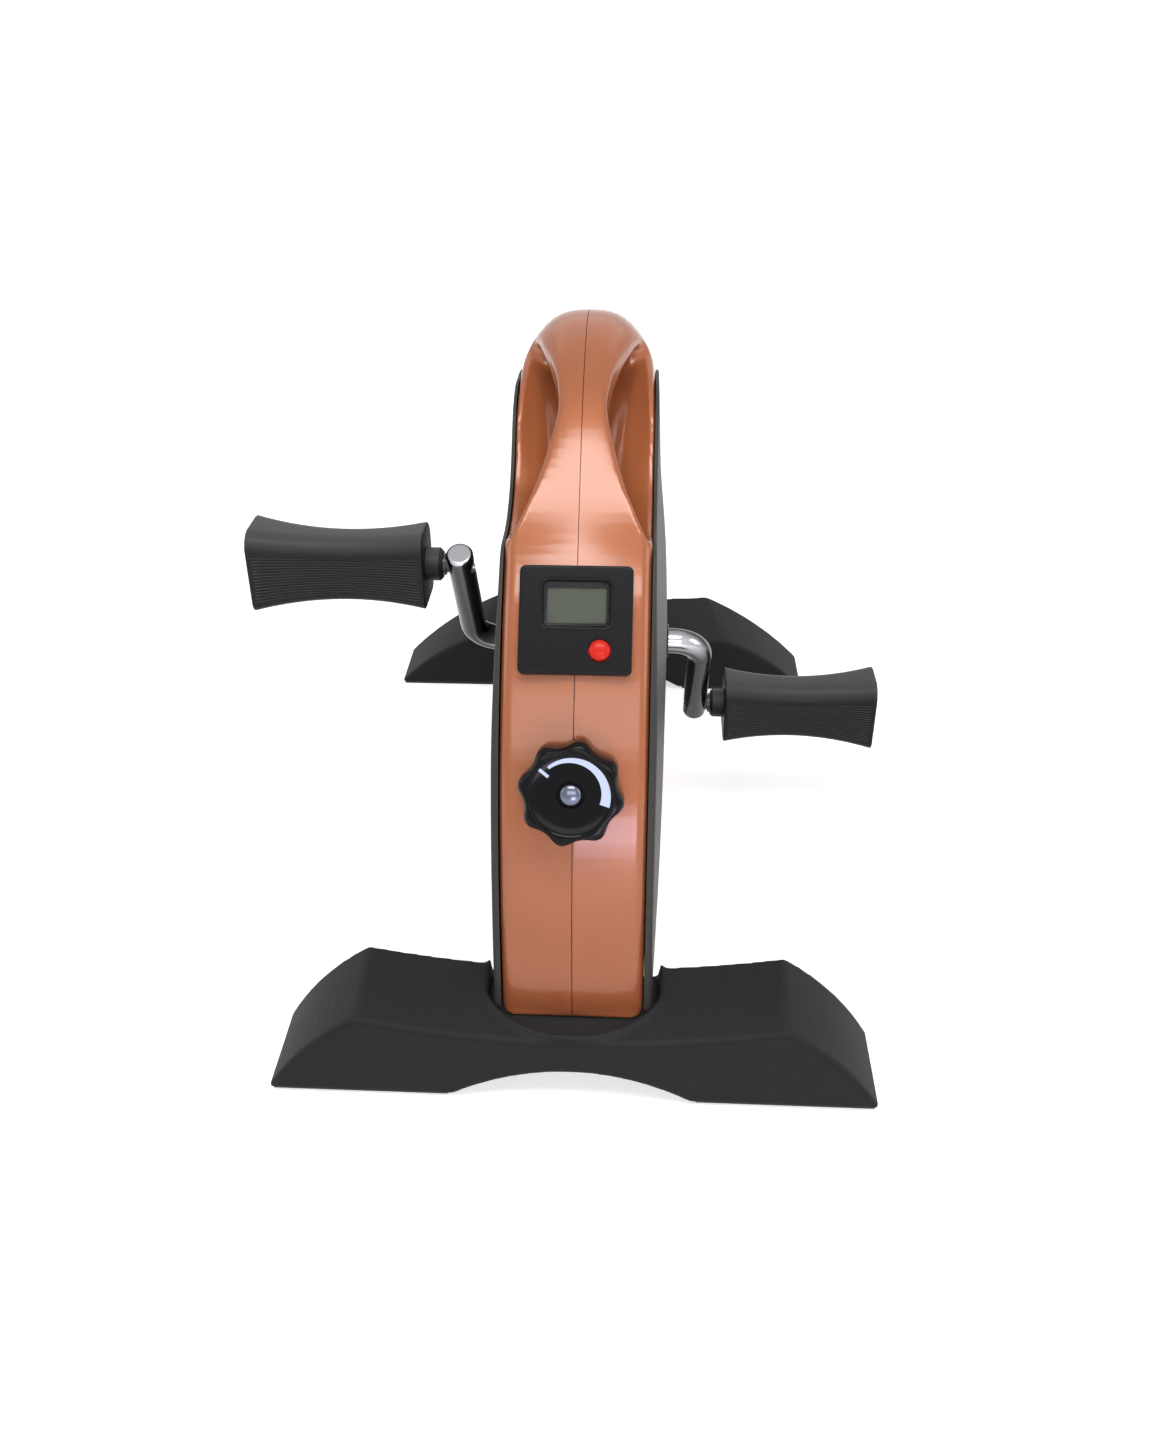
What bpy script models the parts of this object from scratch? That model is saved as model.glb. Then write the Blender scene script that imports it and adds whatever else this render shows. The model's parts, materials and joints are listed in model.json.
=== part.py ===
"""A mini exercise bike for legs or arms: two plastic feet, a copper housing in two halves with a carrying
handle, a display, a tension knob, and a chrome crank whose belt turns a flywheel inside.

Metres, +Z up. The origin is on the floor under the middle of the bike, +Y points to the back and +X to the
right of someone who faces the display. Outlines in the side plane are (y, z) pairs, and run clockwise seen
from the right: up the front, over the top and down the back.
"""

import math

import bmesh
import bpy
import numpy as np
from mathutils import Matrix, Vector

# Clearances
GAP = 0.0003
RUNNING_GAP = 0.0006

# Housing, two shells that meet at x = 0
HOUSING_WIDTH = 0.079
HOUSING_BOTTOM = 0.0435
SHELL_WALL = 0.0025
EDGE_RADIUS = 0.006
FRONT_LINE = ((-0.2360, HOUSING_BOTTOM), (-0.2335, 0.070), (-0.2245, 0.121), (-0.2095, 0.172),
              (-0.187, 0.218), (-0.160, 0.258), (-0.1345, 0.286))
HANDLE_LINE = ((-0.107, 0.3175), (-0.077, 0.346), (-0.047, 0.364), (-0.014, 0.3738), (0.018, 0.3697))
BACK_LINE = ((0.053, 0.356), (0.088, 0.333), (0.128, 0.295), (0.168, 0.245), (0.198, 0.190),
             (0.221, 0.130), (0.2335, 0.070), (0.2360, HOUSING_BOTTOM))
LEAST_RADIUS = 0.001
CROWN = 0.026
CROWN_POWER = 2.5
CROWN_FROM = 0.305
CROWN_FULL = 0.368

# Hand space under the handle: the edges of the shoulders, the floor between them, the handle's underside
SHOULDER_LINE = ((-0.165, 0.2895), (-0.1345, 0.287), (-0.107, 0.283), (-0.078, 0.293), (-0.060, 0.311),
                 (-0.047, 0.329), (-0.028, 0.344), (-0.004, 0.3515))
FLOOR_LINE = ((-0.165, 0.2895), (-0.1345, 0.285), (-0.107, 0.279), (-0.080, 0.282), (-0.057, 0.296),
              (-0.037, 0.317), (-0.021, 0.336), (-0.010, 0.3505))
UNDERSIDE_LINE = ((-0.165, 0.258), (-0.130, 0.277), (-0.100, 0.3015), (-0.080, 0.321), (-0.055, 0.3415),
                  (-0.030, 0.3535), (0.010, 0.356))
HANDLE_HALF_WIDTHS = ((-0.170, 0.075), (-0.1345, 0.0400), (-0.1175, 0.0256), (-0.099, 0.0177),
                      (-0.078, 0.0122), (-0.060, 0.0152), (-0.042, 0.0245), (-0.022, 0.0400),
                      (0.010, 0.075))
FLOOR_HALF_WIDTH = 0.010

# Side covers
COVER_MARGIN = 0.004
COVER_WALL = 0.0022
COVER_EDGE = 0.0042
COVER_RISE = 0.0115
COVER_MIDDLE = (0.000, 0.185)
# Rings from the cover's edge to its middle: (scale, share of the edge, share of the rise)
COVER_RING_SHARES = ((1, 0.6, 0), (0.992, 1, 0), (0.8, 1, 0.45), (0.5, 1, 0.83), (0.2, 1, 1))

# Feet
FOOT_HALF_LENGTH = 0.1725
FOOT_DEPTH = 0.059
FOOT_LIP = 0.0212
FOOT_WALL = 0.0035
FOOT_ARCH_HALF = 0.067
FOOT_ARCH_RISE = 0.022
FOOT_BOW = 0.005
FRONT_CREASES = ((0.1170, 0.0585, 0.0455), (0.120, 0.0595, 0.0475))
REAR_CREASES = ((0.090, 0.0610, 0.0575), (0.106, 0.0475, 0.0440))
PAD_THICKNESS = 0.0015
PAD_MARGIN = 0.003
COLLAR_RADIUS = 0.0528
COLLAR_CENTRE = 0.0566
COLLAR_SIDE = 0.0482
COLLAR_RIM = 0.0028
COLLAR_TOP = 0.0492

# Frame inside the housing
BEAM_WIDTH = 0.040
BEAM_HEIGHT = 0.016
BEAM_WALL = 0.002
BEAM_INSET = 0.014
PLATE = 0.003
POST_DEPTH = 0.030
POST_WIDTH = 0.008
POST_X = -0.012
FORK_DEPTH = 0.030
FORK_TAB = 0.016
FORK_LEFT_ROOM = 0.0138
FOOT_BOLT_INSET = 0.0235
FOOT_BOLT_RADIUS = 0.004
BOLT_HEAD_RADIUS = 0.0075
BOLT_HEAD_HEIGHT = 0.004
WELD_NUT_HEIGHT = 0.006

# Crank
CRANK_Y = -0.027
CRANK_Z = 0.1707
CRANK_RADIUS = 0.008
CRANK_THROW = 0.0855
CRANK_ANGLE = math.radians(58.6)
CRANK_BEND = 0.018
ARM_X = 0.0725
ARM_END = 0.0112
EYE_RADIUS = 0.0088
EYE_WIDTH = 0.014
CRANK_TUBE_WALL = 0.003
CRANK_TUBE_LEFT = -0.0345
CRANK_TUBE_RIGHT = 0.0125
CRANK_BEARING_RADIUS = 0.0145
CRANK_BEARING_WIDTH = 0.010
CIRCLIP_WIDTH = 0.0014
CIRCLIP_RADIUS = 0.0108
BUSH_WALL = 0.0022

# Flywheel, on the knob's axis
FLYWHEEL_RADIUS = 0.064
FLYWHEEL_WIDTH = 0.016
FLYWHEEL_X = -0.003
FLYWHEEL_DEPTH = 0.105
FLYWHEEL_WEB = 0.008
FLYWHEEL_RIM = 0.014
FLYWHEEL_HUB_RADIUS = 0.018
AXLE_RADIUS = 0.005
AXLE_BEARING_RADIUS = 0.012
AXLE_BEARING_WIDTH = 0.006
AXLE_NUT_WIDTH = 0.004
NUT_RADIUS = 0.0085

# Belt drive
BELT_X = 0.0205
BELT_WIDTH = 0.008
BELT_THICKNESS = 0.0015
DRIVE_PULLEY_RADIUS = 0.060
FLYWHEEL_PULLEY_RADIUS = 0.016
PULLEY_FLANGE = 0.0022
PULLEY_FLANGE_WIDTH = 0.001
PULLEY_WEB = 0.003

# Tension knob, spindle and brake, in the frame of the housing's front at this height
KNOB_Z = 0.180
KNOB_RADIUS = 0.0261
KNOB_LOBE = 0.0017
KNOB_LOBES = 8
KNOB_THICKNESS = 0.0185
# Levels from the knob's back to its face: (share of the thickness, of the radius, of the lobes)
KNOB_LEVEL_SHARES = ((0, 0.92, 0), (0.16, 1, 1), (0.78, 1, 1), (0.945, 0.95, 0.8), (1, 0.88, 0.3))
KNOB_DISH = 0.0015
KNOB_DISH_RADIUS = 0.0185
KNOB_BORE = 0.0052
KNOB_CAP_DEPTH = 0.006
KNOB_SCREW_RADIUS = 0.0062
KNOB_SCREW_HEIGHT = 0.004
KNOB_SCREW_RIM = 0.35
SPINDLE_RADIUS = 0.0048
SPINDLE_BUSH_WALL = 0.0026
BUSH_FLANGE = 0.004
BUSH_FLANGE_HEIGHT = 0.0015
BUSH_DEPTH = 0.008
BRAKE_TRAVEL = 0.003
PAD_REACH = 0.0005
BRAKE_PAD_THICKNESS = 0.008
BRAKE_PAD_HEIGHT = 0.022
CARRIER_WIDTH = 0.022
CARRIER_HEIGHT = 0.024
CARRIER_DEPTH = 0.012
GUIDE_WALL = 0.0025
STRUT_DEPTH = 0.012

# Console, in the frame of the housing's front at this height
CONSOLE_Z = 0.2553
CONSOLE_X = 0.0
CONSOLE_WIDTH = 0.061
CONSOLE_LENGTH = 0.060
CONSOLE_CORNER = 0.004
CONSOLE_RAISED = 0.005
CONSOLE_FACE = 0.0025
CONSOLE_WALL = 0.002
CONSOLE_BODY_WIDTH = 0.054
CONSOLE_BODY_LENGTH = 0.052
CONSOLE_BODY_DEPTH = 0.0095
LENS_WIDTH = 0.0372
LENS_LENGTH = 0.0262
LENS_THICKNESS = 0.001
WINDOW_WIDTH = 0.0330
WINDOW_LENGTH = 0.0192
WINDOW_Y = 0.0079
PANEL_THICKNESS = 0.0018
BOARD_THICKNESS = 0.0016
CELL_RADIUS = 0.010
CELL_THICKNESS = 0.0032
BACK_PLATE = 0.0015
BUTTON_RADIUS = 0.006
BUTTON_RAISED = 0.0035
BUTTON_TRAVEL = 0.0012
BUTTON_FLANGE = 0.001
BUTTON_FLANGE_HEIGHT = 0.0006
BUTTON_X = 0.0140
BUTTON_Y = -0.0165

# Speed sensor
MAGNET_RADIUS = 0.004
MAGNET_THICKNESS = 0.003
MAGNET_ORBIT = 0.048
MAGNET_SEAT_WALL = 0.0015
SENSOR_SIZE = 0.010
SENSOR_DISTANCE = 0.0012
LEAD_RADIUS = 0.0015
LEAD_X = -0.002
LEAD_BULGE = 0.027
LEAD_CREST = 0.0486
LEAD_SAG = 0.004

# Pedals
PEDAL_INNER = 0.0925
PEDAL_LENGTH = 0.1025
PEDAL_HEIGHT = 0.048
PEDAL_DEPTH = 0.038
PEDAL_FLARE = 0.001
PEDAL_WAIST = 0.0047
PEDAL_CORNER = 0.009
PEDAL_HUB_RADIUS = 0.011
PEDAL_HUB_GAP = 0.0005
PEDAL_SPINDLE_RADIUS = 0.005
PEDAL_CAP_RADIUS = 0.011
PEDAL_CAP_THICKNESS = 0.003
PEDAL_NUT_WIDTH = 0.006

# Screws that hold the shells together, (y, z)
SHELL_SCREWS = ((-0.2150, 0.088), (-0.167, 0.211), (0.206, 0.090), (0.150, 0.228))
SCREW_RADIUS = 0.002
SCREW_HEAD_RADIUS = 0.004
SCREW_HEAD_HEIGHT = 0.002
SCREW_BITE = 0.024
BOSS_RADIUS = 0.005

# Colours, roughness and metallic value
COPPER_PAINT = ((0.70, 0.30, 0.16), 0.36, 0.55)
BLACK_PLASTIC = ((0.035, 0.035, 0.036), 0.55, 0.0)
GLOSS_BLACK = ((0.012, 0.012, 0.014), 0.15, 0.0)
RED_PLASTIC = ((0.68, 0.035, 0.02), 0.25, 0.0)
CHROME = ((0.75, 0.75, 0.76), 0.10, 1.0)
STEEL = ((0.50, 0.50, 0.50), 0.35, 1.0)
CAST_IRON = ((0.20, 0.20, 0.20), 0.50, 1.0)
RUBBER = ((0.02, 0.02, 0.02), 0.80, 0.0)
FELT = ((0.35, 0.33, 0.28), 0.95, 0.0)
BOARD_GREEN = ((0.03, 0.20, 0.08), 0.45, 0.0)
DISPLAY_GREY = ((0.13, 0.14, 0.11), 0.25, 0.0)
CLEAR = ((0.60, 0.65, 0.60), 0.05, 0.0)

# Turns (y, z) outlines, with x as the thickness, into world coordinates
SIDE = Matrix(((0, 0, 1, 0), (1, 0, 0, 0), (0, 1, 0, 0), (0, 0, 0, 1)))
# Turns (x, z) outlines, with y as the thickness, into world coordinates
ELEVATION = Matrix(((1, 0, 0, 0), (0, 0, -1, 0), (0, 1, 0, 0), (0, 0, 0, 1)))
PLAN = Matrix.Identity(4)

HALF = HOUSING_WIDTH / 2
HOUSING_REACH = BACK_LINE[-1][0]
FOOT_REACH = HOUSING_REACH + FOOT_LIP
BEAM_REACH = HOUSING_REACH - BEAM_INSET
FOOT_BOLT_Y = HOUSING_REACH - FOOT_BOLT_INSET
FLOOR_TOP = HOUSING_BOTTOM + SHELL_WALL
BEAM_BOTTOM = FLOOR_TOP + GAP
BEAM_TOP = BEAM_BOTTOM + BEAM_HEIGHT
SEAT = HOUSING_BOTTOM - GAP
SOLE = PAD_THICKNESS + GAP
# Well past the whole bike
FAR = 1.0


def collection(name):
    made = bpy.data.collections.new(name)
    bpy.context.scene.collection.children.link(made)
    return made


for old in list(bpy.data.objects):
    bpy.data.objects.remove(old, do_unlink=True)
PARTS = collection("mini_exercise_bike")
CUTTERS = collection("cutters")
CUTTERS.hide_render = True


# Making and finishing objects

def tool(mesh, frame=PLAN):
    """A shape that only cuts or joins another."""
    obj = bpy.data.objects.new("tool", mesh)
    obj.matrix_world = frame
    obj.hide_render = True
    obj.display_type = "WIRE"
    CUTTERS.objects.link(obj)
    return obj


def part(name, obj, look, frame=PLAN):
    """Makes a tool a part of the bike, with its own name and material, and its origin at frame."""
    colour, roughness, metallic = look
    material = bpy.data.materials.new(name)
    material.use_nodes = True
    shader = material.node_tree.nodes["Principled BSDF"]
    shader.inputs["Base Color"].default_value = (*colour, 1.0)
    shader.inputs["Roughness"].default_value = roughness
    shader.inputs["Metallic"].default_value = metallic
    move = frame.inverted() @ obj.matrix_world
    obj.data.transform(move)
    obj.matrix_world = frame
    obj.data.materials.clear()
    obj.data.materials.append(material)
    obj.data.shade_smooth()
    obj.data.set_sharp_from_angle(angle=math.radians(35))
    obj.name = name
    obj.hide_render = False
    obj.display_type = "TEXTURED"
    CUTTERS.objects.unlink(obj)
    PARTS.objects.link(obj)
    return obj


def baked(obj):
    """The evaluated mesh of an object, closed, with its faces pointing out."""
    bpy.context.view_layer.update()
    view = bpy.context.evaluated_depsgraph_get()
    mesh = bpy.data.meshes.new_from_object(obj.evaluated_get(view))
    work = bmesh.new()
    work.from_mesh(mesh)
    bmesh.ops.remove_doubles(work, verts=work.verts, dist=1e-6)
    bmesh.ops.recalc_face_normals(work, faces=work.faces)
    work.to_mesh(mesh)
    work.free()
    bpy.data.objects.remove(obj, do_unlink=True)
    return mesh


def combine(obj, operation, others):
    for other in others:
        modifier = obj.modifiers.new(operation.lower(), "BOOLEAN")
        modifier.operation = operation
        modifier.solver = "EXACT"
        modifier.object = other
    return obj


def cut(obj, *others):
    return combine(obj, "DIFFERENCE", others)


def join(obj, *others):
    return combine(obj, "UNION", others)


def keep_inside(obj, *others):
    return combine(obj, "INTERSECT", others)


def rounded(obj, width, segments=2):
    bevel = obj.modifiers.new("rounded", "BEVEL")
    bevel.width = width
    bevel.segments = segments
    bevel.limit_method = "ANGLE"
    bevel.angle_limit = math.radians(50)
    return obj


# Shapes

def box(low, high, frame=PLAN):
    low, high = Vector(low), Vector(high)
    work = bmesh.new()
    bmesh.ops.create_cube(work, size=1.0)
    bmesh.ops.scale(work, vec=high - low, verts=work.verts)
    bmesh.ops.translate(work, vec=(low + high) / 2, verts=work.verts)
    return tool(to_mesh(work), frame)


def plate(x, y, z, width, length, height, frame):
    """A box that stands on a face: centred on (x, y), with its back at z."""
    return box((x - width / 2, y - length / 2, z), (x + width / 2, y + length / 2, z + height), frame)


def to_mesh(work):
    mesh = bpy.data.meshes.new("shape")
    bmesh.ops.recalc_face_normals(work, faces=work.faces)
    work.to_mesh(mesh)
    work.free()
    return mesh


def rod(radius, low, high, frame=PLAN, sides=24):
    """A cylinder along the frame's third axis, from low to high."""
    work = bmesh.new()
    bmesh.ops.create_cone(work, cap_ends=True, segments=sides, radius1=radius, radius2=radius,
                          depth=high - low, matrix=Matrix.Translation((0, 0, (low + high) / 2)))
    return tool(to_mesh(work), frame)


def prism(outline, low, high, frame):
    """A flat outline with a thickness along the frame's third axis, from low to high."""
    curve = bpy.data.curves.new("outline", "CURVE")
    curve.dimensions = "2D"
    curve.fill_mode = "BOTH"
    curve.extrude = (high - low) / 2
    spline = curve.splines.new("POLY")
    spline.points.add(len(outline) - 1)
    for point, (u, v) in zip(spline.points, outline):
        point.co = (u, v, 0, 1)
    spline.use_cyclic_u = True
    mesh = baked(tool(curve))
    return tool(mesh, frame @ Matrix.Translation((0, 0, (low + high) / 2)))


def turned(profile, frame, steps=24):
    """A turned shape about the frame's third axis. The profile holds (radius, along) pairs, from the top
    down the outer side. It is closed unless it starts and ends on the axis."""
    open_ended = profile[0][0] == 0
    mesh = bpy.data.meshes.new("profile")
    count = len(profile)
    edges = [(i, (i + 1) % count) for i in range(count - open_ended)]
    mesh.from_pydata([(radius, 0, along) for radius, along in profile], edges, [])
    obj = tool(mesh)
    screw = obj.modifiers.new("turn", "SCREW")
    screw.axis = "Z"
    screw.steps = steps
    screw.render_steps = steps
    screw.use_merge_vertices = True
    screw.merge_threshold = 1e-6
    return tool(baked(obj), frame)


def ring(inner, outer, low, high, frame, steps=24):
    return turned(((outer, high), (outer, low), (inner, low), (inner, high)), frame, steps)


def loft(rings):
    """A closed solid through rings of as many points each."""
    work = bmesh.new()
    loops = [[work.verts.new(point) for point in points] for points in rings]
    for low, high in zip(loops, loops[1:]):
        for i, vertex in enumerate(low):
            work.faces.new((low[i - 1], vertex, high[i], high[i - 1]))
    work.faces.new(loops[0])
    work.faces.new(loops[-1])
    return tool(to_mesh(work))


def tube(path, radius, sides=8):
    """A round bar along a path of points."""
    curve = bpy.data.curves.new("path", "CURVE")
    curve.dimensions = "3D"
    curve.bevel_depth = radius
    curve.bevel_resolution = (sides - 4) // 2
    curve.use_fill_caps = True
    spline = curve.splines.new("POLY")
    spline.points.add(len(path) - 1)
    for point, place in zip(spline.points, path):
        point.co = (*place, 1)
    return tool(baked(tool(curve)))


# Curves

def smooth(points, steps):
    """Points along a smooth curve through the points given."""
    knots = np.array(points, dtype=float)
    before = np.vstack((knots[:1], knots[:-1]))
    after = np.vstack((knots[1:], knots[-1:]))
    slopes = after - before
    slopes /= np.linalg.norm(slopes, axis=1)[:, None]
    share = np.arange(steps)[:, None] / steps
    line = []
    for a, b, slope_a, slope_b in zip(knots, knots[1:], slopes, slopes[1:]):
        reach = np.linalg.norm(b - a) / 3
        p, q = a + slope_a * reach, b - slope_b * reach
        rest = 1 - share
        line.extend(a * rest**3 + 3 * p * rest**2 * share + 3 * q * rest * share**2 + b * share**3)
    return np.array([*line, knots[-1]])


def inset(outline, distance):
    """A closed clockwise outline moved inwards, by one distance or by one for each point."""
    ahead = np.roll(outline, -1, axis=0) - outline
    ahead /= np.linalg.norm(ahead, axis=1)[:, None]
    behind = np.roll(ahead, 1, axis=0)
    inward = np.stack((ahead[:, 1] + behind[:, 1], -ahead[:, 0] - behind[:, 0]), axis=1)
    mitre = inward / (1 + np.sum(ahead * behind, axis=1))[:, None]
    return outline + mitre * np.broadcast_to(distance, len(outline))[:, None]


def raised(line, distance):
    """An open line moved to its left, so upwards if it runs to the back."""
    slope = np.gradient(line, axis=0)
    slope /= np.linalg.norm(slope, axis=1)[:, None]
    return line + distance * np.stack((-slope[:, 1], slope[:, 0]), axis=1)


def bow(a, b, rise, count):
    """Points from a to b along a shallow bow that stands rise off the chord, to its left."""
    a, b = np.array(a), np.array(b)
    share = np.linspace(0, 1, count)[:, None]
    chord = (b - a) / np.linalg.norm(b - a)
    side = np.array((-chord[1], chord[0]))
    return a + (b - a) * share + side * rise * 4 * share * (1 - share)


def ease(value):
    value = np.clip(value, 0, 1)
    return value * value * (3 - 2 * value)


def arc(centre, radius, start, end, count):
    turn = np.linspace(start, end, count)
    return np.stack((centre[0] + radius * np.cos(turn), centre[1] + radius * np.sin(turn)), axis=1)


# Housing

OUTLINE = smooth((*FRONT_LINE, *HANDLE_LINE, *BACK_LINE), 2)


def front_frame(height):
    """The housing's front at a height: x to the right, y up the slope, z out of the face."""
    front = smooth(FRONT_LINE, 8)
    slope = np.gradient(front, axis=0)
    y = float(np.interp(height, front[:, 1], front[:, 0]))
    back, up = (np.interp(height, front[:, 1], run) for run in slope.T)
    tilt = math.atan2(back, up)
    return Matrix.Translation((0, y, height)) @ Matrix.Rotation(math.pi / 2 - tilt, 4, "X")


def crown(outline):
    """How much further in than the centre line the housing's skin is at its sides."""
    return CROWN * ease((outline[:, 1] - CROWN_FROM) / (CROWN_FULL - CROWN_FROM))


def housing_solid(shrink):
    """The housing without its hand space, each face moved in by shrink."""
    half = HALF - shrink
    radius = max(EDGE_RADIUS - shrink, LEAST_RADIUS)
    flat = half - radius
    places = [(flat * share, 0.0) for share in (0, 0.4, 0.75)]
    for turn in np.radians((0, 30, 60, 90)):
        places.append((flat + radius * math.sin(turn), radius * (1 - math.cos(turn))))
    places = [(-x, step) for x, step in reversed(places[1:])] + places
    rings = []
    for x, step in places:
        section = inset(OUTLINE, shrink + step + crown(OUTLINE) * abs(x / HALF) ** CROWN_POWER)
        rings.append([(x, y, z) for y, z in section])
    return loft(rings)


def hand_space(grow):
    """The space under and beside the handle, each face moved out by grow."""
    reach = ARM_X
    shoulder = raised(smooth(SHOULDER_LINE, 2), -grow)
    floor = raised(smooth(FLOOR_LINE, 2), -grow)
    middle = (HALF + FLOOR_HALF_WIDTH) / 2
    rings = []
    for x in (-reach, -HALF, -middle, -FLOOR_HALF_WIDTH, FLOOR_HALF_WIDTH, middle, HALF, reach):
        blend = ease((abs(x) - FLOOR_HALF_WIDTH) / (HALF - FLOOR_HALF_WIDTH))
        line = shoulder * blend + floor * (1 - blend)
        ends = ((line[-1][0] + grow, line[-1][1]), (line[-1][0] + grow, FAR), (line[0][0], FAR))
        rings.append([(x, y, z) for y, z in (*line, *ends)])
    underside = raised(smooth(UNDERSIDE_LINE, 2), grow)
    side = (*underside, (underside[-1][0], 2 * FAR), (underside[0][0], 2 * FAR))
    handle = prism(side, -reach, reach, SIDE)
    widths = smooth(HANDLE_HALF_WIDTHS, 3)
    plan = [(half - grow, y) for y, half in widths] + [(grow - half, y) for y, half in reversed(widths)]
    keep_inside(handle, prism(plan, 0, 2 * FAR, PLAN))
    return cut(loft(rings), handle)


def drilled(places, radius, low, high):
    """Rods along x at (y, z) places."""
    return [rod(radius, low, high, SIDE @ Matrix.Translation((y, z, 0)), 12) for y, z in places]


def shells(console_frame, knob_frame):
    cavity = cut(housing_solid(SHELL_WALL), hand_space(SHELL_WALL))
    opening_width = CONSOLE_BODY_WIDTH + 2 * GAP
    opening_length = CONSOLE_BODY_LENGTH + 2 * GAP
    deep = CONSOLE_BODY_DEPTH + CONSOLE_RAISED
    opening = plate(CONSOLE_X, 0, -deep, opening_width, opening_length, 2 * deep, console_frame)
    knob_hole = rod(spindle_bush_radius() + GAP, -2 * BUSH_DEPTH, 2 * BUSH_DEPTH, knob_frame)
    bush_hole = rod(bush_radius() + GAP, -ARM_X, ARM_X, crank_frame())
    bolts = [rod(FOOT_BOLT_RADIUS + GAP, 0, BEAM_BOTTOM, bolt_frame(toward), 16) for toward in (-1, 1)]
    for name, side in (("left_shell", -1), ("right_shell", 1)):
        shell = cut(housing_solid(0), hand_space(0), cavity)
        low, high = sorted((side * GAP, side * (HALF - SHELL_WALL / 2)))
        join(shell, *drilled(SHELL_SCREWS, BOSS_RADIUS, low, high))
        cut(shell, *drilled(SHELL_SCREWS, SCREW_RADIUS + GAP, -SCREW_BITE - GAP, ARM_X))
        cut(shell, opening, knob_hole, bush_hole, *bolts)
        near, far = sorted((side * GAP / 2, side * ARM_X))
        keep_inside(shell, box((near, -FAR, -FAR), (far, FAR, FAR)))
        part(name, shell, COPPER_PAINT)


def cover_line():
    """The edge of the housing's flat side, which dips under the handle."""
    side = inset(OUTLINE, crown(OUTLINE))
    shoulder = smooth(SHOULDER_LINE, 2)
    root, end = FRONT_LINE[-1], SHOULDER_LINE[-1]
    front = [point for point in side if point[0] < root[0] - EDGE_RADIUS / 2 and point[1] < root[1]]
    dip = [point for point in shoulder if root[0] <= point[0]]
    back = [point for point in side if point[0] > end[0] + EDGE_RADIUS]
    line = np.array([*front, *dip, *back])
    line[:, 1] = np.maximum(line[:, 1], COLLAR_TOP + RUNNING_GAP - COVER_MARGIN)
    return line


def cover_solid(shrink, low, sign):
    """A side cover's bulging skin, each face moved in by shrink, with its back at low."""
    line = inset(cover_line(), COVER_MARGIN + shrink)
    middle = np.array(COVER_MIDDLE)
    rings = [[(sign * low, y, z) for y, z in line]]
    for scale, edge, rise in COVER_RING_SHARES:
        x = HALF + GAP + edge * COVER_EDGE + rise * (COVER_RISE - COVER_EDGE) - shrink
        rings.append([(sign * x, y, z) for y, z in middle + (line - middle) * scale])
    return loft(rings)


def covers():
    for name, sign in (("left_cover", -1), ("right_cover", 1)):
        cover = cut(cover_solid(0, HALF + GAP, sign), cover_solid(COVER_WALL, HALF - GAP, sign))
        cut(cover, rod(bush_radius() + GAP, -ARM_X, ARM_X, crank_frame()))
        part(name, cover, BLACK_PLASTIC)


# Feet

def foot_section(crease_x, crease_z, middle_z):
    """A foot's outline in elevation, clockwise from the arch's left end."""
    across = np.linspace(-crease_x, crease_x, 11)
    top = [(x, middle_z + (crease_z - middle_z) * (x / crease_x) ** 2) for x in across]
    facet = bow((crease_x, crease_z), (FOOT_HALF_LENGTH, SOLE), FOOT_BOW, 6)[1:]
    left_facet = [(-x, z) for x, z in reversed(facet)]
    along = np.linspace(FOOT_ARCH_HALF, -FOOT_ARCH_HALF, 9)
    arch = [(x, SOLE + (FOOT_ARCH_RISE - SOLE) * (1 - (x / FOOT_ARCH_HALF) ** 2)) for x in along]
    return [*left_facet, *top, *facet, *arch]


def foot_hollow(side, crease, low, high):
    """The space under one end of a foot, open at the bottom."""
    crease_x, crease_z, middle_z = crease
    inner = FOOT_ARCH_HALF + FOOT_WALL
    across = np.linspace(inner, crease_x, 4)
    top = [(x, middle_z + (crease_z - middle_z) * (x / crease_x) ** 2 - FOOT_WALL) for x in across]
    facet = bow((crease_x, crease_z), (FOOT_HALF_LENGTH, SOLE), FOOT_BOW, 6)[1:-1]
    slope = [(x - FOOT_WALL, z - FOOT_WALL) for x, z in facet]
    outline = [(inner, 0), *top, *slope, (FOOT_HALF_LENGTH - 3 * FOOT_WALL, 0)]
    return prism([(side * x, z) for x, z in outline], low, high, ELEVATION)


def collar_line(rim):
    """The housing's socket in a foot, in plan, for a foot whose outer face is at y = 0."""
    radius = COLLAR_RADIUS + rim
    side = COLLAR_SIDE + rim
    turn = math.asin(side / radius)
    front = arc((0, COLLAR_CENTRE), radius, -math.pi / 2 - turn, -math.pi / 2 + turn, 17)
    back = FOOT_DEPTH + (0 if rim else FOOT_WALL)
    return [*front, (side, back), (-side, back)]


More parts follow.
